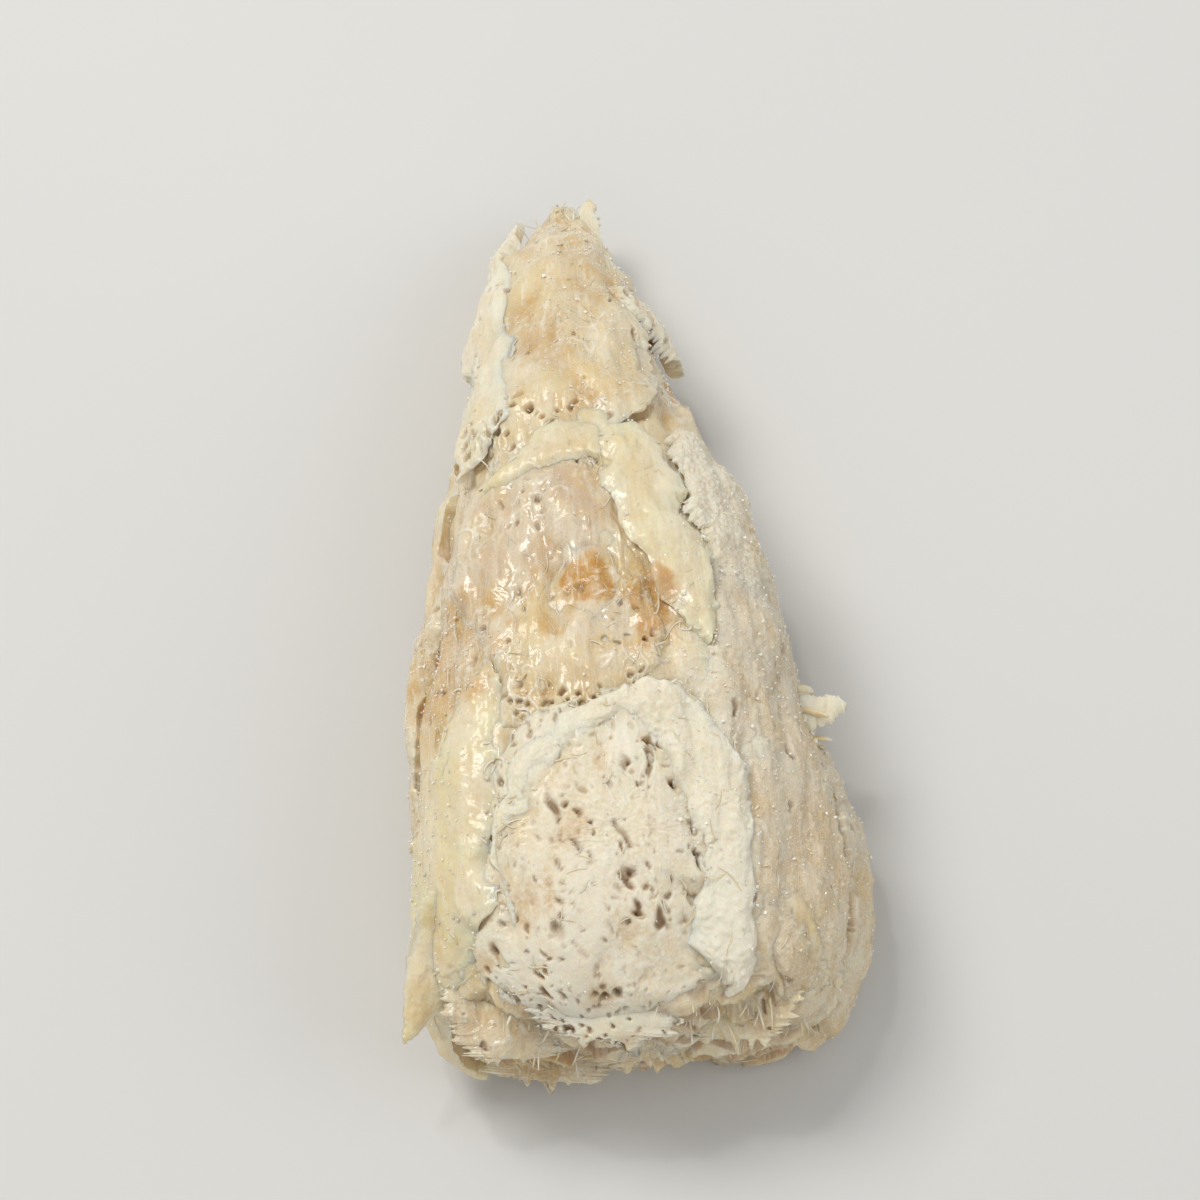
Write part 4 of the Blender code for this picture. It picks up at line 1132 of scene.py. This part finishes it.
def build_core():
    """The body: the smooth form raised by its relief, by long overlapping layers of
    muscle on the sides, and at the wide end by bundles that broke off at unlike
    lengths."""
    form = flesh_form()
    mark_edges(form)
    rows, columns = 440, 216
    walk = np.linspace(0, form.walk[-1], rows + 2)[1:-1]
    y = np.interp(walk, form.walk, form.y)
    around = np.linspace(-1, 1, columns, endpoint=False)[None, :]
    right, left = np.interp(y, form.y, form.right), np.interp(y, form.y, form.left)
    round_ = np.where(around > 0, right[:, None], left[:, None]) * around
    ys = y[:, None] + 0 * around
    base, up = form.at(ys, round_)
    layer = 0.34 * ys + 0.95 * np.abs(round_) + 3.2 * noise(base, 16.0, 31)
    saw = (layer / 6.5) % 1.0
    step = ramp(saw, 0.0, 0.85) * ramp(saw, 1.0, 0.88)
    aside = ramp(np.abs(round_), 9.0, 16.0) * ramp(base[..., 2], 1.0, 4.0)
    holes = pores(base, (1.3, 2.2, 1.3), 0.16, 33)
    flesh, extra = soft_flesh(base, 1.2)
    # edge dents the flesh beside the upper flakes' rims and paints shade there as amber.
    edge = form.crease_shade(ys, round_)
    rise = flesh + aside * (0.75 * step - 0.35) - 0.4 * holes - 0.4 * edge
    facing = ramp(-up[..., 1], 0.25, 0.8) * ramp(y[:, None], -40, -46)
    bent = np.stack([noise(base, 3.6, 36 + k) for k in range(3)], -1)
    bundles = base * np.array((1.0, 0.05, 1.0)) + np.array((1.6, 0.0, 1.1)) * bent
    gap, second, owner = scattered_cells(bundles, (5.2, 3.0, 1.5), 35)
    points = base + up * rise[..., None]
    points[..., 1] += facing * (2.4 * owner - 0.6 + 0.8 * (0.5 - gap))
    points[..., 2] = np.maximum(points[..., 2], 0.0)
    form.lay(ys, round_, np.maximum(rise, 0))
    masks = zone_masks(points)
    # Painted shade in the seams between the broken bundles at the near end and in the creases between the
    # layers on the sides; both darken the pit mask.
    seam_shade = facing * ramp(second - gap, 0.16, 0.02)
    crease_shade = aside * ramp(saw, 0.86, 0.97) * 0.35
    masks["pit"] = np.clip(0.6 * holes + 0.6 * seam_shade + crease_shade, 0, 1)
    masks["thin"] = 0 * masks["pit"]
    masks["crest"] = extra["crest"]
    # The amber mask gets painted shade: in the hollows between lumps and beside the upper flakes' rims.
    masks["amber"] = np.maximum(np.maximum(masks["amber"], extra["amber"]), 0.6 * edge)
    piece = make_piece("core_flesh", *closed_tube(points, masks), finish_material("moist"))
    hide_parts(CHUNK)


def build_laid_flakes():
    """The flakes that lie on the body, from the lowest to the uppermost."""
    form = flesh_form()
    for seed, (name, spec) in enumerate(LAID.items()):
        flake = make_flake(seed, spec)
        base, up, height, ys, rounds = laid_flake(form, flake, spec)
        finish_flake(name, spec, flake, base, up, height, form, (ys, rounds))


def build_free_flakes():
    """The flakes that stick out of the torn ends and of the right side."""
    for seed, (name, spec) in enumerate(FREE.items()):
        rings, sides = spec["grid"]
        flake = Flake(spec["path"], seed + 31, rings, sides, spec.get("ragged", 1.0),
                      spec.get("fray", 2.2), (5, 4))
        finish_flake(name, spec, flake, *free_flake(flake, spec))


def fibre_material(tints):
    """Cream to white, for all the fibres."""
    return plain_material("cod_fibre", tuple(tints.flesh), tuple(tints.salt), 500.0, 0.40, 0.3)


def add_strands(name, mesh, material):
    """Makes a piece of a set of fibres."""
    points, quads, caps = mesh
    masks = {"fibre": np.ones(len(points))}
    make_piece(name, points, quads, caps, masks, material)


# Fibres that leave the body: how many, where along and round they start, which way they
# run, their lengths and radii, and a seed.
OPEN_FIBRES = {
    "side_tuft": (14, (-19.0, -14.0), (21.5, 25.5), (1.0, 0.10, -0.12),
                  (2.0, 3.6), (0.30, 0.62), 602),
    "near_fringe": (70, (-49.2, -46.5), (-27, 27), (0.0, -1.0, -0.15),
                    (0.8, 2.6), (0.05, 0.13), 603),
    "far_fringe": (24, (43, 48), (-7, 7), (0.0, 1.0, -0.1), (0.8, 2.2), (0.06, 0.16), 604),
}


def build_fibres():
    """Fine threads along the muscle, torn shreds at the flakes' edges, threads across the
    holes, a bright tuft on the right side, and fringes at both torn ends."""
    form = flesh_form()
    sizes = bpy.context.scene.cod_sizes
    material = fibre_material(bpy.context.scene.cod_colours)
    thin = sizes.fibre_radius * 1000.0

    y, round_, rng = scatter(form, 300, lambda p: 0.20 + 0.75 * spot(p, 3, 20, 7, 14)
                             + 0.6 * spot(p, -3, -2, 14, 14) + 0.5 * spot(p, 14, -38, 8, 12), 201)
    count = len(y)
    heading = np.where(rng.random(count) < 0.5, 0.0, np.pi) + rng.normal(0, 0.40, count)
    add_strands("fine_threads", laid_fibres(
        form, y, round_, heading, rng.uniform(0.8, 3.2, count), thin * rng.uniform(0.5, 1.1, count),
        np.full(count, -0.08), rng.uniform(-0.12, 0.05, count), 0.25, 202, sides=4), material)

    edge_y, edge_round, edge_heading = [], [], []
    for seed, spec in enumerate(LAID.values()):
        path = np.array(spec["path"], float)
        rng = np.random.default_rng(300 + seed)
        rows = smooth_rows(rng.uniform(0.03, 0.97, 10),
                           np.column_stack((np.linspace(0, 1, len(path)), path)))
        hand = rng.choice((-1.0, 1.0), len(rows))
        reach = np.where(hand > 0, rows[:, 3], rows[:, 2]) * rng.uniform(0.86, 1.0, len(rows))
        edge_y.append(rows[:, 0] + rng.normal(0, 0.3, len(rows)))
        edge_round.append(rows[:, 1] + hand * reach)
        edge_heading.append(hand * rng.uniform(0.5, 2.6, len(rows)))
    y, round_, heading = (np.concatenate(part) for part in (edge_y, edge_round, edge_heading))
    count = len(y)
    rng = np.random.default_rng(401)
    add_strands("torn_shreds", laid_fibres(
        form, y, round_, heading, rng.uniform(0.6, 2.0, count), rng.uniform(0.08, 0.20, count),
        np.full(count, -0.20), rng.uniform(-0.3, 0.15, count), 0.6, 402, 0.35, 8, 6), material)

    y, round_, rng = scatter(form, 80, lambda p: spot(p, -3, -35, 10, 13)
                             + spot(p, 0.5, -12, 5, 5) + spot(p, 9, 30, 5, 6)
                             + spot(p, -8, 13, 8, 3), 501)
    count = len(y)
    add_strands("web_threads", laid_fibres(
        form, y, round_, rng.uniform(0, 6.28, count), rng.uniform(1.0, 3.2, count),
        thin * rng.uniform(0.6, 1.3, count), rng.uniform(-0.15, 0.0, count),
        rng.uniform(-0.15, 0.05, count), 0.4, 502, 0.7, 8, 5), material)

    rng = np.random.default_rng(601)
    for name, (count, along, across, aim, lengths, radii, seed) in OPEN_FIBRES.items():
        ranges = (along, across, lengths, radii)
        y, round_, length, radius = (rng.uniform(*ends, count) for ends in ranges)
        add_strands(name, open_fibres(form, y, round_, aim, length, radius, seed), material)


def build_salt():
    """Loose salt crystals, and the round granules near the narrow end."""
    form = flesh_form()
    sizes = bpy.context.scene.cod_sizes
    tints = bpy.context.scene.cod_colours
    material = plain_material("cod_crystal", tuple(tints.salt), tuple(tints.crystal), 900.0, 0.18, 0.15)
    y, round_, rng = scatter(form, 4200, lambda p: 0.06 + 0.8 * spot(p, -15.5, -11, 5, 6)
                             + 0.32 * spot(p, 13, -20, 8, 26) + 0.45 * spot(p, 3, 27, 8, 14)
                             + 0.35 * spot(p, -17, -32, 5, 12), 701)
    size = sizes.crystal_size * 1000.0 * rng.lognormal(-0.85, 0.38, len(y))
    points, quads = grain_mesh(form, y, round_, np.clip(size, 0.05, 0.34), 702)
    piece = make_piece("salt_crystals", points, quads, np.zeros((0, 3), int),
                       {"fibre": np.ones(len(points))}, material)
    piece.data.shade_flat()

    y, round_, rng = scatter(form, 170, lambda p: spot(p, 1.0, 42, 5, 8)
                             + 0.35 * spot(p, -12, 24, 3.5, 9) + 0.25 * spot(p, -16, -30, 5, 14), 801)
    radius = rng.uniform(0.12, 0.28, len(y))
    base, up = form.at(y, round_)
    centre = base + up * (form.covered(y, round_) - radius * 0.25)[:, None]
    tilt = np.linspace(0.22, np.pi - 0.22, 6)
    turn = np.linspace(0, 2 * np.pi, 8, endpoint=False)
    ball = np.stack((np.sin(tilt)[:, None] * np.cos(turn), np.sin(tilt)[:, None] * np.sin(turn),
                     np.cos(tilt)[:, None] + 0 * turn), -1)
    centre[:, 2] = np.maximum(centre[:, 2], radius + 0.02)
    ring = centre[:, None, None] + ball[None] * radius[:, None, None, None]
    points, quads, caps = tubes_from(ring)
    masks = {**zone_masks(points), "pit": np.zeros(len(points)), "thin": np.ones(len(points))}
    make_piece("granules", points, quads, caps, masks, finish_material("moist"))


# Each light: place in m, side, watts and colour.
LIGHTS = {
    "key": ((-0.46, 0.38, 0.84), 0.40, 5.4, (1.0, 0.985, 0.955)),
    "fill": ((0.75, -0.20, 0.62), 0.70, 1.9, (0.96, 0.98, 1.0)),
    "front": ((-0.10, -0.85, 0.55), 0.60, 0.9, (1.0, 1.0, 1.0)),
    "glint": ((-0.22, 0.30, 0.92), 0.07, 0.9, (1.0, 1.0, 1.0)),
}
SKY_COLOUR, SKY_STRENGTH = (0.98, 0.985, 1.0, 1.0), 0.46
CAMERA_AROUND, CAMERA_ABOVE = math.radians(-4.0), math.radians(64.0)
CAMERA_TARGET = np.array((0.0, -0.001, 0.011))
SENSOR_WIDTH, VIEW_WIDTH = 36.0, 0.122
FLOOR_SIDES, FLOOR_RADII = 96, (0.5, 3.0)


def build_floor(scene):
    """A pale disc: a fan of triangles in the middle with a ring round it."""
    turn = np.linspace(0, 2 * np.pi, FLOOR_SIDES + 1)[:-1]
    radii = np.array(FLOOR_RADII)[:, None]
    disc = np.stack((radii * np.cos(turn), radii * np.sin(turn), 0 * radii * turn), -1)
    points = np.concatenate((np.zeros((1, 3)), disc.reshape(-1, 3)))
    i = 1 + np.arange(FLOOR_SIDES)
    j = 1 + np.arange(1, FLOOR_SIDES + 1) % FLOOR_SIDES
    inner = np.stack((0 * i, i, j), -1).tolist()
    outer = np.stack((i, FLOOR_SIDES + i, FLOOR_SIDES + j, j), -1).tolist()
    mesh = bpy.data.meshes.new("floor")
    mesh.from_pydata(points.tolist(), [], inner + outer)
    floor = bpy.data.objects.new("floor", mesh)
    scene.collection.objects.link(floor)
    pale = tuple(scene.cod_colours.floor)
    deeper = tuple(0.97 * share for share in pale)
    mesh.materials.append(plain_material("stage_floor", pale, deeper, 3.0, 0.75, 0.0))


def build_lights(scene):
    """The lights, all aimed at the chunk, and an even bright sky."""
    for name, (place, side, power, colour) in LIGHTS.items():
        data = bpy.data.lights.new(name, "AREA")
        data.size, data.energy, data.color = side, power, colour
        light = bpy.data.objects.new(name, data)
        light.location = place
        aim = -unit(np.array(place))
        light.rotation_euler = (math.acos(-aim[2]), 0.0, math.atan2(-aim[0], aim[1]))
        scene.collection.objects.link(light)
    world = bpy.data.worlds.new("studio")
    world.use_nodes = True
    sky = world.node_tree.nodes["Background"]
    sky.inputs["Color"].default_value = SKY_COLOUR
    sky.inputs["Strength"].default_value = SKY_STRENGTH
    scene.world = world
    scene.view_settings.view_transform = "Standard"


def build_camera(scene):
    """The camera, which looks down on the chunk from the front."""
    distance = scene.cod_sizes.camera_distance
    flat = math.cos(CAMERA_ABOVE)
    away = np.array((math.sin(CAMERA_AROUND) * flat, -math.cos(CAMERA_AROUND) * flat,
                     math.sin(CAMERA_ABOVE)))
    data = bpy.data.cameras.new("camera")
    data.lens = SENSOR_WIDTH * distance / VIEW_WIDTH
    data.clip_start = 0.01
    camera = bpy.data.objects.new("camera", data)
    camera.location = CAMERA_TARGET + away * distance
    camera.rotation_euler = (math.pi / 2 - CAMERA_ABOVE, 0.0, CAMERA_AROUND)
    scene.collection.objects.link(camera)
    scene.camera = camera


def build_stage():
    """The floor, the lights, the sky and the camera."""
    scene = bpy.context.scene
    build_floor(scene)
    build_lights(scene)
    build_camera(scene)


# ---------------------------------------------------------------- the add-on


def length_property(name, description, default):
    return bpy.props.FloatProperty(name=name, description=description, default=default,
                                   min=0.0, unit="LENGTH", precision=5)


def colour_property(name, description, default):
    return bpy.props.FloatVectorProperty(name=name, description=description, default=default,
                                         size=3, min=0.0, max=1.0, subtype="COLOR")


class CodSizes(bpy.types.PropertyGroup):
    """Sizes that a user would change."""

    length: length_property("Length", "Length that the sections are shares of",
                            float(BOX_SIZE[1] * BODY_SHARE[1] / 1000))
    width: length_property("Width", "Width that the sections are shares of",
                           float(BOX_SIZE[0] * BODY_SHARE[0] / 1000))
    height: length_property("Height", "Height that the sections are shares of",
                            float(BOX_SIZE[2] * BODY_SHARE[2] / 1000))
    fibre_radius: length_property("Fibre radius", "Radius of a fine muscle fibre", 0.000075)
    crystal_size: length_property("Crystal size", "Side of a usual salt crystal", 0.00026)
    camera_distance: length_property("Camera distance", "From the camera to the chunk", 0.40)


class CodColours(bpy.types.PropertyGroup):
    """Colours that a user would change."""

    flesh: colour_property("Flesh", "Cream of the muscle", shade(223, 204, 158))
    second: colour_property("Second flesh", "Deeper cream in patches", shade(208, 181, 130))
    yellow: colour_property("Yellow", "Waxy yellow of the thicker flaps", shade(221, 211, 163))
    grey: colour_property("Grey", "Greyish flesh under the salt crust", shade(205, 194, 170))
    salt: colour_property("Salt", "White of salt and of foamy tissue", shade(234, 227, 207))
    crystal: colour_property("Crystal", "Brightest salt", shade(250, 249, 244))
    amber: colour_property("Amber", "Amber of the oily spots", shade(206, 165, 90))
    rich: colour_property("Rich amber", "Deepest amber, in the crater", shade(186, 128, 24))
    pink: colour_property("Pink", "Pinkish beige of the lean flesh", shade(204, 177, 147))
    # The colour of the painted shade in holes, seams and creases.
    crevice_shade: colour_property("Crevice", "Brown inside holes", shade(150, 106, 56))
    floor: colour_property("Floor", "Pale floor", shade(214, 213, 209))


class COD_OT_core(bpy.types.Operator):
    """Build the chunk's body"""

    bl_idname = "cod.core"
    bl_label = "Body of the chunk"

    def execute(self, context):
        build_core()
        return {"FINISHED"}


class COD_OT_laid_flakes(bpy.types.Operator):
    """Build the flakes that lie on the body"""

    bl_idname = "cod.laid_flakes"
    bl_label = "Laid flakes"

    def execute(self, context):
        build_laid_flakes()
        return {"FINISHED"}


class COD_OT_free_flakes(bpy.types.Operator):
    """Build the flakes that stick out of the ends and sides"""

    bl_idname = "cod.free_flakes"
    bl_label = "Free flakes"

    def execute(self, context):
        build_free_flakes()
        return {"FINISHED"}


class COD_OT_fibres(bpy.types.Operator):
    """Build the threads, shreds and fringes"""

    bl_idname = "cod.fibres"
    bl_label = "Fibres"

    def execute(self, context):
        build_fibres()
        return {"FINISHED"}


class COD_OT_salt(bpy.types.Operator):
    """Build the salt crystals and granules"""

    bl_idname = "cod.salt"
    bl_label = "Salt"

    def execute(self, context):
        build_salt()
        return {"FINISHED"}


class COD_OT_stage(bpy.types.Operator):
    """Build the floor, the lights and the camera"""

    bl_idname = "cod.stage"
    bl_label = "Stage"

    def execute(self, context):
        build_stage()
        return {"FINISHED"}


OPERATORS = (COD_OT_core, COD_OT_laid_flakes, COD_OT_free_flakes, COD_OT_fibres, COD_OT_salt,
             COD_OT_stage)


class COD_PT_panel(bpy.types.Panel):
    """Lists the pieces, sizes and colours"""

    bl_idname = "COD_PT_panel"
    bl_label = "Salted dried cod"
    bl_space_type = "VIEW_3D"
    bl_region_type = "UI"
    bl_category = "Cod"

    def draw(self, context):
        layout = self.layout
        for operator in OPERATORS:
            layout.operator(operator.bl_idname)
        for group in (context.scene.cod_sizes, context.scene.cod_colours):
            for name in group.__annotations__:
                layout.prop(group, name)


CLASSES = (CodSizes, CodColours, *OPERATORS, COD_PT_panel)


def register():
    for cls in CLASSES:
        bpy.utils.register_class(cls)
    bpy.types.Scene.cod_sizes = bpy.props.PointerProperty(type=CodSizes)
    bpy.types.Scene.cod_colours = bpy.props.PointerProperty(type=CodColours)


def unregister():
    del bpy.types.Scene.cod_colours
    del bpy.types.Scene.cod_sizes
    for cls in reversed(CLASSES):
        bpy.utils.unregister_class(cls)


def main():
    register()
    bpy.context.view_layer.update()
    for step in (bpy.ops.cod.core, bpy.ops.cod.laid_flakes, bpy.ops.cod.free_flakes,
                 bpy.ops.cod.fibres, bpy.ops.cod.salt, bpy.ops.cod.stage):
        if step() != {"FINISHED"}:
            raise RuntimeError("a piece could not be built")


if __name__ == "__main__":
    main()
